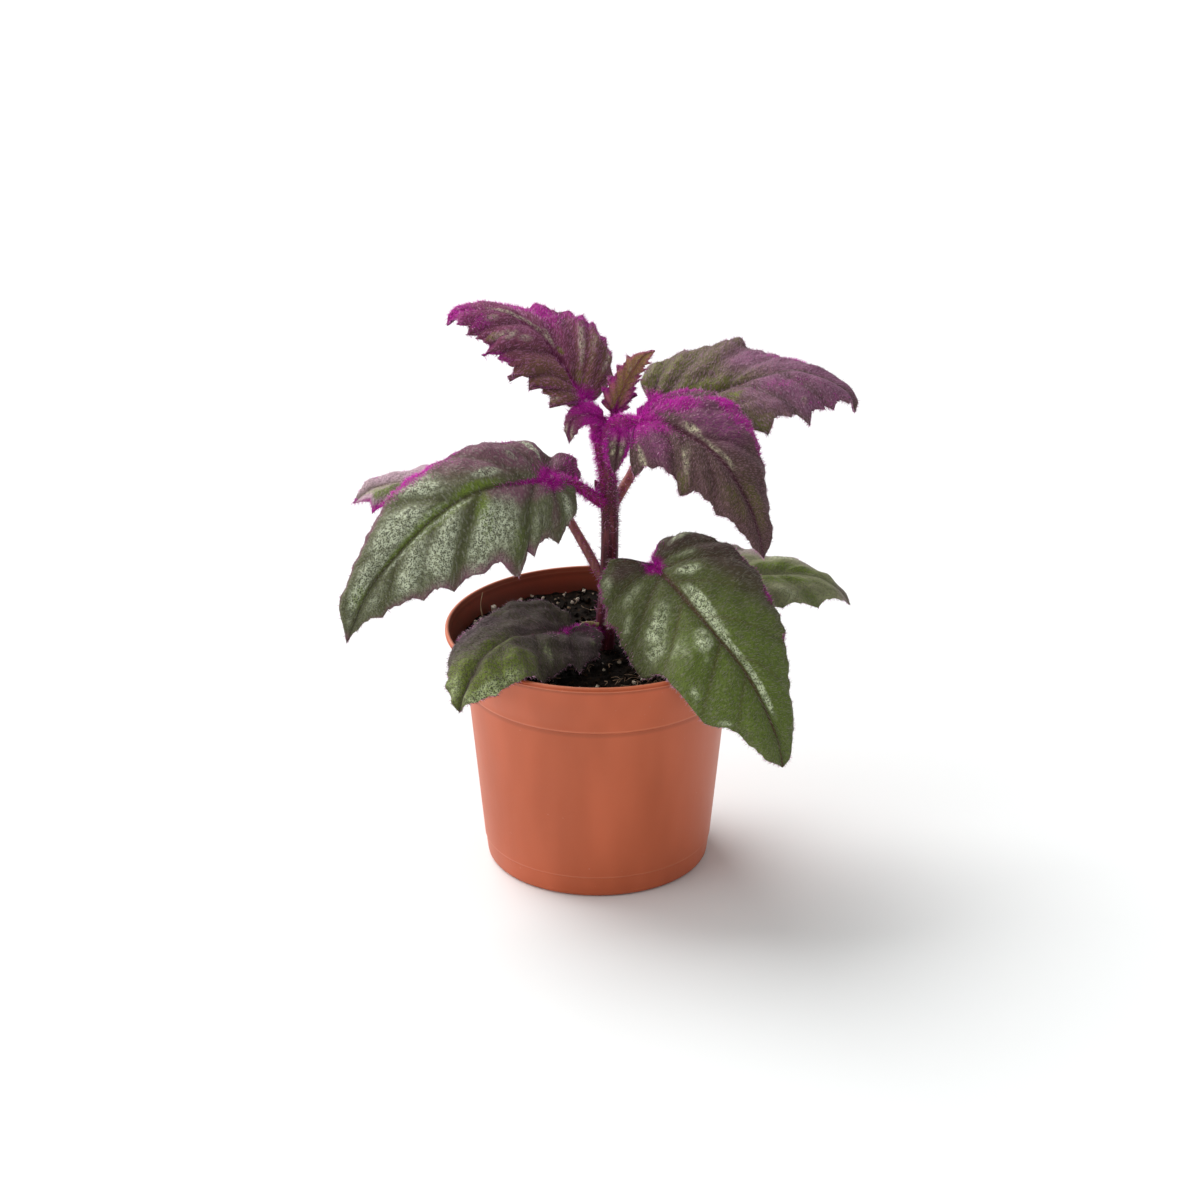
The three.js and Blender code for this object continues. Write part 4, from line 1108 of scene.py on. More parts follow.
    def shape(self):
        """Bulges the blade between its veins and gives it two skins."""
        sizes, points, size = self.sizes, self.points, self.scale
        far = np.clip(np.linalg.norm(points - self.rib.points[0], axis=1) / (12 * size), 0, 1)
        inside = np.clip((1 - self.out) * 5, 0, 1) * 0.5 + 0.5
        quilt = sizes.quilting / MM * size * self.pillow * inside * (0.25 + 0.75 * far)
        folds = 0.3 * ripple(points, 9, 5) + 0.16 * ripple(points, 4.2, 6)
        quilt += size * self.leaf["crinkle"] * folds * (0.3 + self.pillow)
        tooth = np.zeros(len(points))
        for side, sign in SIDES.items():
            mine = self.side == sign
            tooth[mine] = self.tooth(side, self.along[mine])
        droop = 0.22 * tooth * self.out**5
        middle = quilt - droop
        up = self.normals(points)
        depth = sizes.vein_depth / MM
        thick = sizes.thickness / MM * (1 - 0.5 * self.out**4)
        self.top = points + up * (middle + thick / 2 - depth * self.groove)[:, None]
        ridge = (0.9 * depth * self.groove + 0.5 * bell(self.to_rib, 1.1) * size)
        self.under = points + up * (middle - thick / 2 - ridge)[:, None]
        self.up = self.normals(self.top)
        foot = self.rib.at(self.rib_share)
        away = points - foot + self.rib.direction(self.rib_share) * 2
        self.outward = unit(away - self.up * (away * self.up).sum(1)[:, None])

    def add_coat(self, name, amount):
        """Lays a coat on where it is thicker than before."""
        self.coats[name] = np.maximum(self.coats[name], amount)

    def coat(self):
        """How much of each coat lies on each point."""
        self.coats = {name: np.zeros(len(self.points)) for name in COATS}
        for place, patches in self.leaf["patches"].items():
            name, side = place.split()
            for along, out, reach_along, reach_out, strength in patches:
                near = np.exp(-(((self.along - along) / reach_along) ** 2)
                              - ((self.out - out) / reach_out) ** 2) * strength
                if side != "both":
                    near = near * np.where(self.side == SIDES[side], 1, self.side == 0)
                self.add_coat(name, near)
        foot = np.linalg.norm(self.points - self.rib.points[0], axis=1)
        self.add_coat("magenta", bell(foot, self.leaf["fuzz"]))
        along_rib = bell(self.to_rib, 1.6) * np.clip(1 - self.rib_share * 3.4, 0, 1)
        self.add_coat("magenta", along_rib * self.leaf["rib_fuzz"])
        # Painted highlight stays off the hollows, and painted highlight streaks lie beside the rib.
        self.coats["silver"] = self.coats["silver"] * (1.1 - 1.1 * self.hollow)
        shoulder = bell(self.to_rib - 2.1 * self.scale, 1.1 * self.scale)
        for side, start, end, strength in self.leaf["streaks"]:
            mine = self.side == SIDES[side]
            starting = np.clip((self.rib_share - start) * 8, 0, 1)
            ending = np.clip((end - self.rib_share) * 8, 0, 1)
            self.add_coat("silver", mine * (starting * ending) * shoulder * strength)

    def rim_faces(self):
        """Joins the upper and the lower skin round the edge."""
        count = len(self.points)
        edges = {(a, b) for face in self.faces for a, b in zip(face, face[1:] + face[:1])}
        return [[b, a, a + count, b + count] for a, b in sorted(edges) if (b, a) not in edges]

    def body(self):
        """Points, faces and attributes of the closed blade."""
        count = len(self.points)
        faces = self.faces + [[c + count for c in face[::-1]] for face in self.faces]
        coats = np.stack([self.coats[name] for name in COATS], axis=1)
        long, wide = 100, 30
        net = np.stack([self.along * long, self.out * wide * self.side, self.rib_share * long], axis=1)
        attributes = {
            "coat": ("FLOAT_COLOR", np.vstack([coats, coats])),
            "net": ("FLOAT_VECTOR", np.vstack([net, net])),
            "vein": ("FLOAT", np.tile(self.vein, 2)),
            "hollow": ("FLOAT", np.tile(self.hollow, 2)),
            "under": ("FLOAT", np.repeat([0.0, 1.0], count)),
        }
        return np.vstack([self.top, self.under]), faces + self.rim_faces(), attributes


class Hairs:
    """Gathers hairs, each a closed spike of four triangles, and makes one piece of them."""

    SUNK = 0.15
    TOUSLE = 0.45

    def __init__(self, seed, sizes):
        self.rng = np.random.default_rng(seed)
        self.sizes = sizes
        self.parts = []

    def add(self, roots, ways, lengths, shades, width=1.0):
        self.parts.append((roots, unit(ways), lengths, shades, np.full(len(roots), width)))

    def shades(self, magenta, pale=0.5):
        """0 for a magenta hair, 1 for a violet one, 2 for a pale one. 3 is the leaf's own."""
        bright = self.rng.random(len(magenta)) < magenta
        return np.where(bright, 0, np.where(self.rng.random(len(magenta)) < pale, 2, 1))

    def on_skin(self, points, up, outward, triangles, density, magenta, length, pale=0.5, lean=0.9,
                width=1.0):
        """Hairs scattered over a skin. density is hairs per square millimetre at each point.
        Without magenta they have the leaf's own colour."""
        a, b, c = (points[triangles[:, k]] for k in range(3))
        area = np.linalg.norm(np.cross(b - a, c - a), axis=1) / 2
        weight = area * density[triangles].mean(1) * self.sizes.density
        wanted = int(weight.sum())
        if not wanted:
            return
        pick = self.rng.choice(len(triangles), wanted, p=weight / weight.sum())
        u, v = self.rng.random(wanted), self.rng.random(wanted)
        flip = u + v > 1
        u, v = np.where(flip, 1 - u, u), np.where(flip, 1 - v, v)
        share = np.stack([1 - u - v, u, v], axis=1)[..., None]
        corners = triangles[pick]
        roots = (points[corners] * share).sum(1)
        ways = (up[corners] * share).sum(1) + lean * (outward[corners] * share).sum(1)
        ways = ways + self.TOUSLE * self.rng.normal(size=(wanted, 3))
        if magenta is None:
            lengths = length * self.rng.uniform(0.6, 1.1, wanted)
            self.add(roots, ways, lengths, np.full(wanted, 3), width)
            return
        bright = (magenta[corners] * share[..., 0]).sum(1)
        lengths = length * self.rng.uniform(0.55, 1.15, wanted) * (0.75 + 0.4 * bright)
        self.add(roots, ways, lengths, self.shades(bright, pale), width)

    def on_tube(self, body, density, magenta, length, pale=0.5):
        """Hairs on a round body, straight out from it."""
        points, faces, outward, _ = body
        self.on_skin(points, outward, np.zeros_like(points), split_faces(faces), density, magenta,
                     length, pale)

    def on_rim(self, blade, side, length):
        """Hairs that stand out from the margin."""
        edge = blade.edges[side]
        rim = Line(blade.points[edge[::2]])
        thick = min(1.4, 0.4 + 0.7 * blade.leaf["haze"])
        count = int(rim.length * RIM_HAIRS * thick * self.sizes.density)
        roots = rim.at(self.rng.random(count))
        corner = edge[nearest(roots, blade.points[edge])[1]]
        lift = (blade.top[corner] + blade.under[corner]) / 2 - blade.points[corner]
        ways = blade.outward[corner] + 0.5 * self.rng.normal(size=(count, 3)) + 0.25 * blade.up[corner]
        magenta = np.clip(blade.coats["magenta"][corner] * blade.leaf["rim_fuzz"], 0, 1)
        lengths = length * self.rng.uniform(0.45, 1.0, count) * (1 + 0.4 * magenta)
        shades = self.shades(magenta * 0.8, 0.8)
        plain = self.rng.random(count) < blade.leaf["rim_plain"]
        self.add(roots + lift, ways, lengths, np.where(plain, 3, shades))

    def on_blade(self, blade, length):
        """A haze of plain hairs, the magenta fuzz, the underside and both margins."""
        magenta = blade.coats["magenta"]
        edge = np.clip((blade.out - 0.93) / 0.07, 0, 1)
        haze = blade.leaf["haze"] * (1 + 0.6 * edge) * np.clip(1 - 0.8 * blade.coats["silver"], 0.2, 1)
        haze = haze * np.clip(1.1 - magenta, 0.15, 1)
        upper = (blade.top, blade.up, blade.outward, blade.triangles)
        lower = (blade.under, -blade.up, blade.outward, blade.triangles[:, ::-1])
        self.on_skin(*upper, haze, None, length * 1.1, lean=2.2, width=0.6)
        self.on_skin(*upper, FUZZY_HAIRS * magenta**1.5, np.clip(magenta * blade.leaf["bright"], 0, 1),
                     length * 0.8, 0.6)
        self.on_skin(*lower, np.full(len(magenta), UNDER_HAIRS), np.full(len(magenta), 0.55),
                     length * 0.8)
        for side in SIDES:
            self.on_rim(blade, side, length)

    def piece(self, name, materials):
        """All the hairs gathered so far, as one mesh."""
        roots, ways, lengths, shades, widths = (np.concatenate(part) for part in zip(*self.parts))
        count = len(roots)
        aside = unit(np.cross(ways, unit(self.rng.normal(size=(count, 3)))))
        other = np.cross(ways, aside)
        half = self.sizes.width / MM / 2 * widths * self.rng.uniform(0.75, 1.25, count)
        corners = []
        for angle in (0, TURN / 3, TURN * 2 / 3):
            around = aside * math.cos(angle) + other * math.sin(angle)
            corners.append(roots - ways * self.SUNK + around * half[:, None])
        corners.append(roots + ways * lengths[:, None])
        points = np.stack(corners, axis=1).reshape(-1, 3)
        pattern = np.array([(0, 1, 3), (1, 2, 3), (2, 0, 3), (0, 2, 1)])
        faces = (np.arange(count)[:, None, None] * 4 + pattern).reshape(-1, 3)
        return mesh_piece(name, points, faces.tolist(), materials, slots=np.repeat(shades, 4))


def shade(colour, share, lift=0):
    """A colour made darker or paler."""
    return tuple(min(1, part * share + lift) for part in colour[:3])


def sheen(weight, colour, specular):
    """The sheen of short hairs, the same all over."""
    return {"Sheen Weight": weight, "Sheen Roughness": 0.4, "Sheen Tint": (*colour, 1),
            "Specular IOR Level": specular}


def pot_plastic(colour, light_and_shade_bands):
    """Satin moulded polypropylene with faint flow marks, dust and a fine moulded grain, and painted
    shade inside that deepens near the soil. The light_and_shade_bands are (height, reach, share):
    painted shade under the lip and the collar step, or painted highlights along edges where the
    share is below 0."""
    dust, edge_highlight = (0.7, 0.45, 0.36), (0.75, 0.3, 0.17)
    # The middle of the wall is a cone: its radius at the foot, and how it flares with the height.
    wall_middle, flare, blur = 0.0272, 0.324, 0.0002
    paint = Paint("terracotta_plastic")
    place = paint.place()
    height = paint.node("ShaderNodeSeparateXYZ", inputs={0: place}, output="Z")
    across = paint.vector("LENGTH", paint.vector("MULTIPLY", place, (1, 1, 0)), output="Value")
    flow = paint.grain(0.03, 2, paint.place((1, 1, 0.25)))
    speck = paint.grain(0.0016, 2).step(0.72, 0.8)
    tone = paint.blend(flow.step(0.3, 0.7), shade(colour, 0.88), shade(colour, 1.14, 0.012))
    tone = paint.blend(speck * 0.18, tone, dust)
    # Painted shade in bands under the lip and the collar step, and painted highlight lines along the
    # edges.
    for level, reach, share in light_and_shade_bands:
        near = 1 - abs((height - level) * (1 / reach)).clamped()
        tone = paint.blend(near * abs(share), tone, shade(colour, 0.45) if share > 0 else edge_highlight)
    # Painted shade over the inside of the pot, deeper from 8 mm above the soil downwards.
    inside = (across - height * flare).step(wall_middle + blur, wall_middle - blur)
    damp = (height - SOIL_TOP * MM).step(0.008, -0.001)
    tone = paint.blend(inside * (0.52 + 0.36 * damp), tone, shade(colour, 0.16))
    rough = 0.4 + 0.1 * paint.grain(0.012, 4) + speck * 0.12
    relief = paint.grain(0.0006, 2) * 0.35 + paint.grain(0.006, 2, paint.place((1, 1, 0.15)))
    return paint.skin(tone, rough, paint.bump(relief, 0.00012, 0.7), Specular_IOR_Level=0.45,
                      Subsurface_Weight=0.06, Subsurface_Scale=0.004,
                      Subsurface_Radius=(1.0, 0.35, 0.2))


def peat(name, colour, light=1.0):
    """Damp peat: nearly black, with brown shreds and wet glints."""
    paint = Paint(name)
    shreds = paint.grain(0.0024, 6, roughness=0.75).step(0.5, 0.72)
    lumps = paint.grain(0.009, 4)
    tone = paint.blend(shreds, colour, shade((0.055, 0.027, 0.012), light))
    tone = paint.blend(lumps.step(0.35, 0.6) * 0.6, tone, shade(colour, 0.4))
    relief = paint.grain(0.0022, 8, roughness=0.7) + paint.cells(0.0019) * 0.4
    return paint.skin(tone, 0.7 + 0.28 * lumps, paint.bump(relief, 0.0009), Specular_IOR_Level=0.08)


def grain_white():
    """White volcanic grain, pitted and stained by the peat."""
    clean, stained, pitted = (0.66, 0.59, 0.48), (0.28, 0.19, 0.11), (0.2, 0.15, 0.1)
    paint = Paint("perlite")
    stain = paint.grain(0.0021, 4).step(0.36, 0.66)
    pits = paint.cells(0.0005).step(0.1, 0.5)
    tone = paint.blend((1 - pits) * 0.6, paint.blend(stain, clean, stained), pitted)
    return paint.skin(tone, 0.8 + 0.15 * stain, paint.bump(pits, 0.0003))


def fibre(name, pale, dark):
    """Dry plant fibre with long streaks."""
    paint = Paint(name)
    streaks = paint.grain(0.0012, 4, paint.place((1, 1, 0.2)))
    tone = paint.blend(streaks.step(0.35, 0.65), dark, pale)
    return paint.skin(tone, 0.6 + 0.3 * streaks, paint.bump(streaks, 0.0003, 0.8))


def stem_skin(name, colour, light):
    """Juicy maroon skin with long ribs and paler streaks, under a purple bloom."""
    bloom = (0.22, 0.01, 0.085)
    paint = Paint(name)
    streaks = paint.grain(0.0016, 3, paint.place((1, 1, 0.12)))
    blotch = paint.grain(0.006, 3)
    tone = paint.blend(streaks.step(0.42, 0.72), colour, light)
    tone = paint.blend(paint.attribute("fuzzy") * blotch.step(0.2, 0.6), tone, bloom)
    relief = streaks + paint.cells(0.0007) * 0.3
    return paint.skin(tone, 0.42 + 0.25 * blotch, paint.bump(relief, 0.00025, 0.7),
                      **sheen(0.12, (0.9, 0.4, 0.8), 0.3))


def hair(name, colour):
    """The plain, faintly shining colour of a hair."""
    return Paint(f"hair_{name}").skin((*colour, 1), 0.5, **sheen(0.12, (1, 0.6, 0.95), 0.2))


def leaf_velvet(name, tones, magenta):
    """Velvety leaf: pitted pillows with painted highlights, painted shade in the pits and the hollows,
    sunk veins, green by the rib, magenta where fuzzy, and short hairs lying on it in swirls."""
    ground, veins, under_side = tones["ground"], tones["vein"], tones["under"]
    paint = Paint(name)
    coats = paint.attribute("coat", "Color")
    bright = paint.node("ShaderNodeSeparateColor", inputs={"Color": coats}, output="Red")
    green, silver = paint.other(bright, "Green"), paint.other(bright, "Blue")
    second = paint.other(coats, "Alpha")
    vein, hollow, under = (paint.attribute(key) for key in ("vein", "hollow", "under"))
    cloud = paint.grain(0.006, 4)
    stipple = paint.grain(0.0018, 2, roughness=0.6).step(0.42, 0.58)
    pits = paint.cells(0.00062).step(0.3, 0.5)
    swirl = paint.other(paint.grain(0.009, 1), "Color")
    net = paint.vector("MULTIPLY", paint.attribute("net", "Vector"), (1.1, 0.32, 0))
    flow = paint.vector("MULTIPLY_ADD", swirl, (3.5, 3.5, 0), net)
    strokes = 1 - paint.cells(1, flow, flat=True).step(0.16, 0.34)
    tufts = 1 - paint.cells(0.55, flow, flat=True).step(0.2, 0.5)
    patchy = 0.6 + 0.8 * cloud
    tone = paint.blend((second * patchy).step(0.15, 0.75), ground, tones["second"])
    tone = paint.blend((green * patchy).step(0.2, 0.85), tone, tones["green"])
    # Painted highlight from the highlight coat, broken up by clouds, stipple and strokes.
    shine = (silver * (0.5 + cloud)).step(0.22, 0.85)
    glint = (shine * (0.35 + 0.75 * stipple + 0.3 * strokes)).clamped()
    tone = paint.blend(glint, tone, tones["silver"])
    # Painted shade in the pits, deepest among the painted highlights.
    tone = paint.blend((1 - pits) * (0.35 + 0.5 * shine), tone, shade(ground, 0.3))
    # Painted shade in the hollows between the pillows.
    deep = tuple((a + b) * 0.22 for a, b in zip(ground, tones["green"]))
    tone = paint.blend(hollow * hollow * 0.5, tone, deep)
    tone = paint.blend(vein.clamped() * 0.85, tone, veins)
    tone = paint.blend(strokes * (1 - 0.6 * shine) * tones["strokes"], tone, tones["haze"])
    fuzz = (bright * (0.75 + (strokes + tufts) * 0.4) + (cloud - 0.5) * 0.3).step(0.2, 0.7)
    tone = paint.blend(fuzz * 0.92, tone, magenta)
    back = paint.blend(vein, under_side, shade(under_side, 1.8, 0.03))
    rough = 0.68 - 0.2 * glint + 0.12 * stipple
    relief = pits * 0.45 + stipple * 0.25 + strokes * 0.35 + cloud * 0.5
    return paint.skin(paint.blend(under, tone, back), rough, paint.bump(relief, 0.0005, 0.9),
                      **sheen(0.08, (0.9, 0.5, 0.85), 0.3))


def white_floor():
    """A pale floor with hardly visible clouds."""
    paint = Paint("studio_floor")
    tone = paint.blend(paint.grain(0.4, 2), (0.84, 0.84, 0.84), (0.86, 0.86, 0.86))
    return paint.skin(tone, 0.9, Specular_IOR_Level=0.1)


def pot_profile(sizes):
    """The pot's section as (radius, height) pairs, from the middle of the foot round to inside."""
    wall, lip_width, lip_height = sizes.wall / MM, sizes.lip_width / MM, sizes.lip_height / MM
    step, line = sizes.collar_bottom / MM, sizes.line_height / MM
    lip_bottom = POT_HEIGHT - lip_height
    collar_top = RIM_RADIUS - lip_width + 0.6
    body_top = COLLAR_FOOT_RADIUS - COLLAR_STEP
    slope = (body_top - FOOT_RADIUS) / (step - 1.1)
    at_line = FOOT_RADIUS + slope * line
    middle = ((COLLAR_FOOT_RADIUS + collar_top) / 2 + 0.3, (step + lip_bottom) / 2)
    outside = [
        (0, 0, 0), (FOOT_RADIUS - 0.1, 0, 2.1), (at_line, line - 0.25, 0.15),
        (at_line + 0.3, line + 0.05, 0.12), (body_top - 0.2, step - 0.7, 0.3),
        (COLLAR_FOOT_RADIUS + 0.25, step - 0.1, 0.28), (COLLAR_FOOT_RADIUS + 0.85, step + 2.4, 1.2),
        (*middle, 4), (collar_top - 0.25, lip_bottom - 0.2, 0.3)]
    lip = [
        (RIM_RADIUS - 0.1, lip_bottom, 0.35), (RIM_RADIUS - 0.1, lip_bottom + 0.55, 0.25),
        (RIM_RADIUS - 0.55, lip_bottom + 0.95, 0.3), (RIM_RADIUS, POT_HEIGHT - 0.75, 0.35),
        (RIM_RADIUS - 0.6, POT_HEIGHT, 0.35), (RIM_RADIUS - lip_width, POT_HEIGHT, 0.45)]
    inside = [
        (collar_top - wall - 0.2, lip_bottom - 1, 0.5), (middle[0] - wall, middle[1], 4),
        (COLLAR_FOOT_RADIUS - wall, step, 0.6), (body_top - wall, step - 1.5, 0.5),
        (FOOT_RADIUS - wall, POT_BASE, 1.2), (0, POT_BASE, 0)]
    return rounded(outside + lip + inside)


def drain_cutter():
    """A ring of short rods that go through the base."""
    rods = []
    for i in range(DRAIN_HOLES):
        angle = i / DRAIN_HOLES * TURN
        middle = np.array((DRAIN_CIRCLE * math.cos(angle), DRAIN_CIRCLE * math.sin(angle), 0))
        rod, faces = revolve([(0, -3), (DRAIN_RADIUS, -3), (DRAIN_RADIUS, 5), (0, 5)], DRAIN_SIDES)
        rods.append((np.array(rod) + middle, faces))
    return mesh_piece("drain_cutter", *merge(rods), [])


def build_pot(sizes):
    """The moulded shell with its drain holes bored. The bands of painted shade and painted highlight
    are in metres.
    """
    step, line, rim = sizes.collar_bottom, sizes.line_height, POT_HEIGHT * MM
    lip_bottom = rim - sizes.lip_height
    # Painted shade under the lip and under the collar step; painted highlight lines on the lip's lower
    # edge, the rim, the step and the mould line.
    light_and_shade_bands = [
        (lip_bottom - 0.0009, 0.0011, 0.5), (lip_bottom + 0.0002, 0.0004, -0.35),
        (rim, 0.0006, -0.3), (step - 0.0016, 0.0014, 0.35),
        (step + 0.0003, 0.0004, -0.35), (line + 0.0003, 0.0003, -0.3),
    ]
    plastic = pot_plastic(sizes.colour, light_and_shade_bands)
    pot = mesh_piece("nursery_pot", *revolve(pot_profile(sizes), sizes.sides), [plastic])
    cutter = drain_cutter()
    cut = pot.modifiers.new("drain", "BOOLEAN")
    cut.object = cutter
    cut.solver = "FAST"
    bpy.context.view_layer.update()
    bored = bpy.data.meshes.new_from_object(pot.evaluated_get(bpy.context.evaluated_depsgraph_get()))
    pot.modifiers.clear()
    pot.data = bored
    bpy.data.objects.remove(cutter)
    pot.data.name = pot.name
    shade_by_angle(pot, 35)
    seat(pot, "terracotta_plastic", "pot")


def soil_level(x, y):
    """Height of the soil, from the frame's own gentle hills."""
    bump = math.sin(x * 0.31 + 1.3) * math.cos(y * 0.27 - 0.6)
    return SOIL_TOP + SOIL_BUMP * bump * min(1, max(0, (54 - math.hypot(x, y)) / 6))


def soil_height(x, y, lumps):
    """The soil with its lumps."""
    coarse = noise.fractal(Vector((x / 7, y / 7, 0.3)), 0.9, 2.1, 4)
    fine = noise.turbulence(Vector((x / 2.6, y / 2.6, 1.7)), 3, False)
    return soil_level(x, y) + lumps * (0.45 * coarse + 0.5 * (fine - 0.55))


def build_soil(sizes):
    """The lumpy top in rings, closer together near the edge, and a smooth underside."""
    lumps = sizes.lumps / MM
    top = [(SOIL_EDGE * (k / (SOIL_RINGS - 1)) ** 0.85, None) for k in range(1, SOIL_RINGS)]
    underside = [(50.2, 73), (42, SOIL_FOOT)]
    rings = top + underside
    points = [(0, 0, soil_height(0, 0, lumps))]
    index = np.zeros((SOIL_SIDES, len(rings) + 2), int)
    for k, (radius, level) in enumerate(rings, start=1):
        for i in range(SOIL_SIDES):
            angle = i / SOIL_SIDES * TURN
            x, y = radius * math.cos(angle), radius * math.sin(angle)
            index[i, k] = len(points)
            points.append((x, y, soil_height(x, y, lumps) if level is None else level))
    points.append((0, 0, SOIL_FOOT))
    index[:, -1] = len(points) - 1
    faces = [face[::-1] for face in grid_faces(index, closed_rows=True)]
    soil = mesh_piece("peat_mix", points, faces, [peat("peat", sizes.colour)])
    seat(soil, "peat_mix", "potting_soil")
    build_crumbs(sizes)
    build_grains(sizes)
    build_fibres(sizes)


def scatter(rng, edge=SOIL_REACH):
    """A random place on the soil, clear of the stem."""
    while True:
        x, y = rng.uniform(-edge, edge, 2)
        if 5 < math.hypot(x - 3, y) and math.hypot(x, y) < edge:
            return x, y


def strew(rng, count, draw_radius, lumps, round_from, roughness, lift):
    """Lumps that lie about on the soil, with more facets from the radius round_from on."""
    parts = []
    for _ in range(count):
        x, y = scatter(rng)
        radius = draw_radius()
        points, faces = lump(radius, rng, int(radius >= round_from), roughness)
        parts.append((points + (x, y, soil_height(x, y, lumps) + radius * lift), faces))
    return merge(parts)


def build_crumbs(sizes):
    """Loose crumbs of peat, most of them small."""
    rng = np.random.default_rng(11)
    strewn = strew(rng, sizes.crumbs, lambda: 0.45 + 1.3 * rng.random() ** 3, sizes.lumps / MM,
                   round_from=0.9, roughness=0.28, lift=0.35)
    crumbs = mesh_piece("peat_crumbs", *strewn, [peat("peat_crumb", sizes.colour, 1.5)])
    shade_by_angle(crumbs, 30)
    seat(crumbs, "peat_mix")


def build_grains(sizes):
    """Each larger grain stands for its own node, and the smallest are one piece."""
    rng = np.random.default_rng(23)
    white = grain_white()
    fit = 1.04
    for name in sorted(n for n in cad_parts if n.startswith("perlite_grain")):
        low, high = (np.array(corner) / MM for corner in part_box(name))
        points, faces = lump(1, rng, 3, 0.25)
        points = points / np.abs(points).max(0) * (high - low) / 2 * fit
        grain = mesh_piece(name.replace("grain", "crumb"), points + (low + high) / 2, faces, [white])
        seat(grain, "perlite", name)
    dust = strew(rng, sizes.grains, lambda: rng.uniform(0.22, 0.55), sizes.lumps / MM,
                 round_from=0, roughness=0.3, lift=0.5)
    seat(mesh_piece("perlite_dust", *dust, [white]), "perlite")


def loose_fibres(rng, count):
    """Fibres that lie about on the soil, every third of them at the front."""
    parts = []
    for i in range(count):
        x, y = scatter(rng, 52)
        if i % 3 == 0:
            x, y = rng.uniform(6, 26), rng.uniform(-42, -30)
        way, reach = rng.uniform(0, TURN), rng.uniform(2, 6.5)
        level = soil_level(x, y) + 0.7
        ahead = np.array((math.cos(way), math.sin(way), 0)) * reach / 2
        bend = np.array((-ahead[1], ahead[0], 0)) * rng.uniform(-0.7, 0.7)
        start = np.array((x, y, level + rng.uniform(0, 0.8)))
        path = [start - ahead, start + bend + (0, 0, rng.uniform(0, 1.3)), start + ahead]
        if max(math.hypot(p[0], p[1]) for p in path) > SOIL_REACH:
            continue
        size = rng.uniform(0.1, 0.22)
        parts.append(tube(Line(path), lambda share: size * (1.1 - 0.5 * share), 5, 9)[:2])
    return merge(parts)


def build_fibres(sizes):
    """The standing root, the dried strand on the stem, and loose fibres."""
    dry = fibre("dry_root", (0.5, 0.34, 0.2), (0.26, 0.15, 0.08))
    root = tube(Line(ROOT_FIBRE), lambda share: 0.34 - 0.2 * share, 8, 24)
    seat(mesh_piece("pale_root", root[0], root[1], [dry]), "dry_fibre", "root_fibre")
    straw = fibre("dried_stalk", (0.52, 0.46, 0.2), (0.3, 0.22, 0.07))
    strand = tube(Line(DRIED_STRAND), lambda share: 0.75 * (1 - share) ** 1.5 + 0.25, 10, 30)
    stub = tube(Line(DRIED_STUB), lambda share: 1.1 - 0.75 * share, 10, 14)
    dried = mesh_piece("dried_stalk", *merge([strand[:2], stub[:2]]), [straw])
    seat(dried, "dry_fibre", "dried_strand")
    loose = fibre("loose_fibre", (0.3, 0.19, 0.11), (0.1, 0.055, 0.03))
    strewn = loose_fibres(np.random.default_rng(31), sizes.fibres)
    seat(mesh_piece("loose_fibres", *strewn, [loose]), "dry_fibre")


def stem_radius(sizes):
    """Radius along the stem, swollen where leaf stalks leave it."""
    low, high = STEM_PATH[0][2], STEM_PATH[-1][2]

    def radius(share):
        height = low + (high - low) * share
        swell = sum(math.exp(-(((height - at) / 2.6) ** 2)) for at in STEM_NODES)
        base = sizes.base_radius + (sizes.top_radius - sizes.base_radius) * share
        return base / MM - 0.12 + 0.3 * min(swell, 1.2)

    return radius


def bud_radius(share):
    """A plump bud that is thickest near its middle."""
    return 1.5 * math.sin(math.pi * min(0.98, 0.3 + 0.68 * share)) + 0.05


def crown_radius(share):
    """The crown, tapering to its tip."""
    return 3.0 * (1 - share) ** 0.7 + 0.35


def build_stem(sizes):
    """The stem, the resting bud in a leaf angle and the crown of the youngest leaves."""
    stem = tube(Line(STEM_PATH), stem_radius(sizes), 32, 150, ribbed(7, 0.035))
    bud = tube(Line(BUD_PATH), bud_radius, 14, 16)
    crown = tube(Line(CROWN_PATH), crown_radius, 20, 20, ribbed(3, 0.12))
    points, faces = merge([stem[:2], bud[:2], crown[:2]])
    height = points[:, 2]
    fuzzy = np.clip((height - 150) / 30, 0, 1) + bell(height - 97, 8) * 0.25
    skin = stem_skin("stem_skin", sizes.colour, sizes.light)
    piece = mesh_piece("stem", points, faces, [skin], attributes={"fuzzy": ("FLOAT", fuzzy)})
    seat(piece, "stem_skin", "main_stem")


def stalk_line(leaf):
    """The leaf stalk, running on just under the blade as its middle vein, and the share of it
    that is free of the blade."""
    rib = Line(leaf["rib"])
    face = unit(np.array(leaf["face"], float))
    under = [rib.at(share) - face * (0.6 + 0.75 * leaf["radius"] * (1 - share) ** 2)
             for share in (0.06, 0.16, 0.3, 0.5, 0.72)]
    foot = [np.array(place, float) for place in leaf["petiole"]]
    foot[-1] = foot[-1] - face * 0.6 * leaf["radius"]
    line = Line(foot + under)
    return line, Line(leaf["petiole"]).length / line.length


def build_stalk(name, leaf, short):
    """The stalk, which thins out under the blade."""
    line, free = stalk_line(leaf)

    def radius(share):
        taper = min(1, share / (free * 1.15))
        return leaf["radius"] * (1 - 0.25 * taper) * (1 - max(0, share - free)) ** 2 + 0.35 * share

    stalk = tube(line, radius, 20, 70, ribbed(3, 0.06))
    fuzzy = np.full(len(stalk[0]), 0.25 if name in BARE_STALKS else 0.8)
    skin = stem_skin(f"stalk_{short}", *leaf["stalk"])
    piece = mesh_piece(f"stalk_{short}", stalk[0], stalk[1], [skin],
                       attributes={"fuzzy": ("FLOAT", fuzzy)})
    seat(piece, "stem_skin")
    return stalk, free


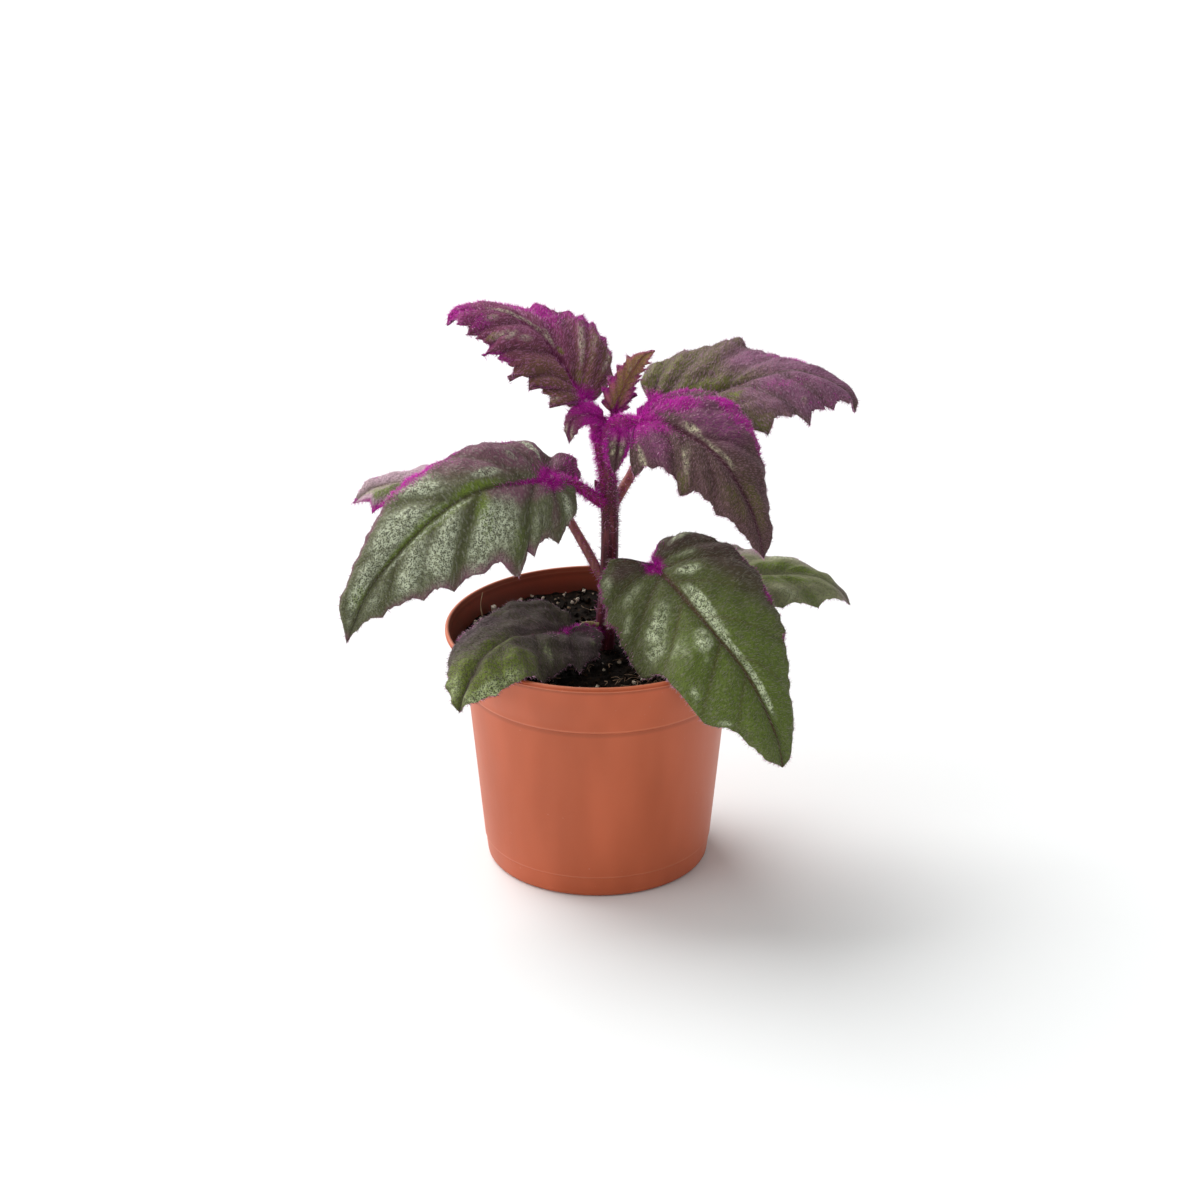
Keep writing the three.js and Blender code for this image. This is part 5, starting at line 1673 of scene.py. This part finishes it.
def build_leaf(name, leaf, sizes):
    """The blade, with its ear, and the stalk."""
    short = name.replace("leaf_", "")
    blades = [Blade(leaf, sizes)]
    if "ear" in leaf:
        ear = {"fuzz": leaf["fuzz"], "haze": leaf["haze"], **leaf["ear"], "face": EAR_FACE}
        blades.append(Blade(ear, sizes))
    bodies = [blade.body() for blade in blades]
    points, faces = merge([body[:2] for body in bodies])
    attributes = {key: (kind, np.concatenate([body[2][key][1] for body in bodies]))
                  for key, (kind, _) in bodies[0][2].items()}
    skin = leaf_velvet(f"velvet_{short}", leaf["tones"], sizes.magenta)
    blade = mesh_piece(f"blade_{short}", points, faces, [skin], attributes=attributes)
    seat(blade, leaf["slot"], name)
    return (blades, *build_stalk(name, leaf, short))


GROWN = {}


def build_leaves(sizes):
    """All leaves, kept for the hairs that grow on them."""
    for name, leaf in LEAVES.items():
        GROWN[name] = build_leaf(name, leaf, sizes)


def build_fuzz(sizes):
    """One piece of hairs for each leaf and its stalk, and one for the stem and its crown."""
    shades = [hair(name, getattr(sizes, name)) for name in ("magenta", "violet", "pale")]
    length = sizes.length / MM
    for seed, (name, (blades, stalk, free)) in enumerate(GROWN.items(), start=101):
        hairs = Hairs(seed, sizes)
        for blade in blades:
            hairs.on_blade(blade, length)
        places, bare = stalk[3], name in BARE_STALKS
        density = STEM_HAIRS * (places < free + 0.05) * (1 + 3 * bell(places - free, 0.07))
        density = density * (0.35 if bare else 1)
        hairs.on_tube(stalk, density, np.full(len(places), 0.3 if bare else 0.85), length * 1.2)
        own = hair(name.replace("leaf_", ""), LEAVES[name]["tones"]["haze"])
        seat(hairs.piece(name.replace("leaf_", "fuzz_"), [*shades, own]), LEAVES[name]["slot"])
    hairs = Hairs(77, sizes)
    stem = tube(Line(STEM_PATH), lambda share: 3.8 - 0.55 * share, 24, 90)
    height = stem[0][:, 2]
    density = (height > 89) * STEM_HAIRS * np.clip((height - 130) / 25, 0.15, 1.2)
    hairs.on_tube(stem, density, np.clip((height - 145) / 35, 0, 0.7), length * 1.4, 0.35)
    crown = tube(Line(CROWN_PATH), crown_radius, 20, 20)
    everywhere = np.ones(len(crown[0]))
    hairs.on_tube(crown, everywhere * 14, everywhere * 0.95, length * 1.1)
    seat(hairs.piece("fuzz_stem", shades), "stem_skin")


def add_sun(name, strength, angle, turn):
    """A soft light from far away. angle is how wide it looks, in degrees."""
    light = bpy.data.lights.new(name, "SUN")
    light.energy = strength
    light.angle = math.radians(angle)
    lamp = bpy.data.objects.new(name, light)
    lamp.rotation_euler = [math.radians(a) for a in turn]
    bpy.context.scene.collection.objects.link(lamp)


def build_stage(sizes):
    """A plain pale floor, a soft key from the back left, a fill from the left and a pale surround."""
    scene = bpy.context.scene
    scene.view_settings.view_transform = "Standard"
    far = 6000
    corners = [(-far, -far, 0), (far, -far, 0), (far, far, 0), (-far, far, 0)]
    floor = mesh_piece("studio_floor", corners, [[0, 1, 2, 3]], [white_floor()])
    add_sun("key", sizes.key, 50, (45, 0, 225))
    add_sun("fill", sizes.fill, 60, (60, 0, -69))
    world = bpy.data.worlds.new("surround")
    world.use_nodes = True
    surround = world.node_tree.nodes["Background"].inputs
    surround["Color"].default_value = (0.95, 1, 0.99, 1)
    surround["Strength"].default_value = sizes.sky
    scene.world = world
    camera = bpy.data.objects.new("camera", bpy.data.cameras.new("camera"))
    camera.location = CAMERA_PLACE
    camera.rotation_euler = (math.radians(CAMERA_TILT), 0, 0)
    camera.data.lens = CAMERA_LENS
    camera.data.sensor_width = 36
    camera.data.clip_end = 50
    scene.collection.objects.link(camera)
    scene.camera = camera


class PLANT_OT_pot(bpy.types.Operator):
    """Make the nursery pot."""

    bl_idname = "plant.pot"
    bl_label = "Pot"

    def execute(self, context):
        build_pot(context.scene.plant_pot)
        return {"FINISHED"}


class PLANT_OT_soil(bpy.types.Operator):
    """Make the potting mix with its crumbs, white grains and fibres."""

    bl_idname = "plant.soil"
    bl_label = "Soil"

    def execute(self, context):
        build_soil(context.scene.plant_soil)
        return {"FINISHED"}


class PLANT_OT_stem(bpy.types.Operator):
    """Make the main stem."""

    bl_idname = "plant.stem"
    bl_label = "Stem"

    def execute(self, context):
        build_stem(context.scene.plant_stem)
        return {"FINISHED"}


class PLANT_OT_leaves(bpy.types.Operator):
    """Make the nine leaves with their stalks."""

    bl_idname = "plant.leaves"
    bl_label = "Leaves"

    def execute(self, context):
        build_leaves(context.scene.plant_leaves)
        return {"FINISHED"}


class PLANT_OT_fuzz(bpy.types.Operator):
    """Make the hairs on the leaves, stalks and stem."""

    bl_idname = "plant.fuzz"
    bl_label = "Fuzz"

    def execute(self, context):
        if not GROWN:
            raise RuntimeError("make the leaves before the fuzz")
        build_fuzz(context.scene.plant_fuzz)
        return {"FINISHED"}


class PLANT_OT_studio(bpy.types.Operator):
    """Make the floor, the lights and the camera."""

    bl_idname = "plant.studio"
    bl_label = "Studio"

    def execute(self, context):
        build_stage(context.scene.plant_studio)
        return {"FINISHED"}


OPERATORS = (PLANT_OT_pot, PLANT_OT_soil, PLANT_OT_stem, PLANT_OT_leaves, PLANT_OT_fuzz,
             PLANT_OT_studio)


class PLANT_PT_panel(bpy.types.Panel):
    """The plant's sizes and its steps."""

    bl_idname = "PLANT_PT_panel"
    bl_label = "Purple passion plant"
    bl_space_type = "VIEW_3D"
    bl_region_type = "UI"
    bl_category = "Plant"

    def draw(self, context):
        for (key, group), operator in zip(GROUPS.items(), OPERATORS):
            box = self.layout.box()
            for name in group.__annotations__:
                box.prop(getattr(context.scene, key), name)
            box.operator(operator.bl_idname)


CLASSES = (*GROUPS.values(), *OPERATORS, PLANT_PT_panel)


def register():
    for made in CLASSES:
        bpy.utils.register_class(made)
    for key, group in GROUPS.items():
        setattr(bpy.types.Scene, key, PointerProperty(type=group))


def unregister():
    for key in GROUPS:
        delattr(bpy.types.Scene, key)
    for made in reversed(CLASSES):
        bpy.utils.unregister_class(made)


def main():
    register()
    for operator in OPERATORS:
        group, name = operator.bl_idname.split(".")
        getattr(getattr(bpy.ops, group), name)()


if __name__ == "__main__":
    main()
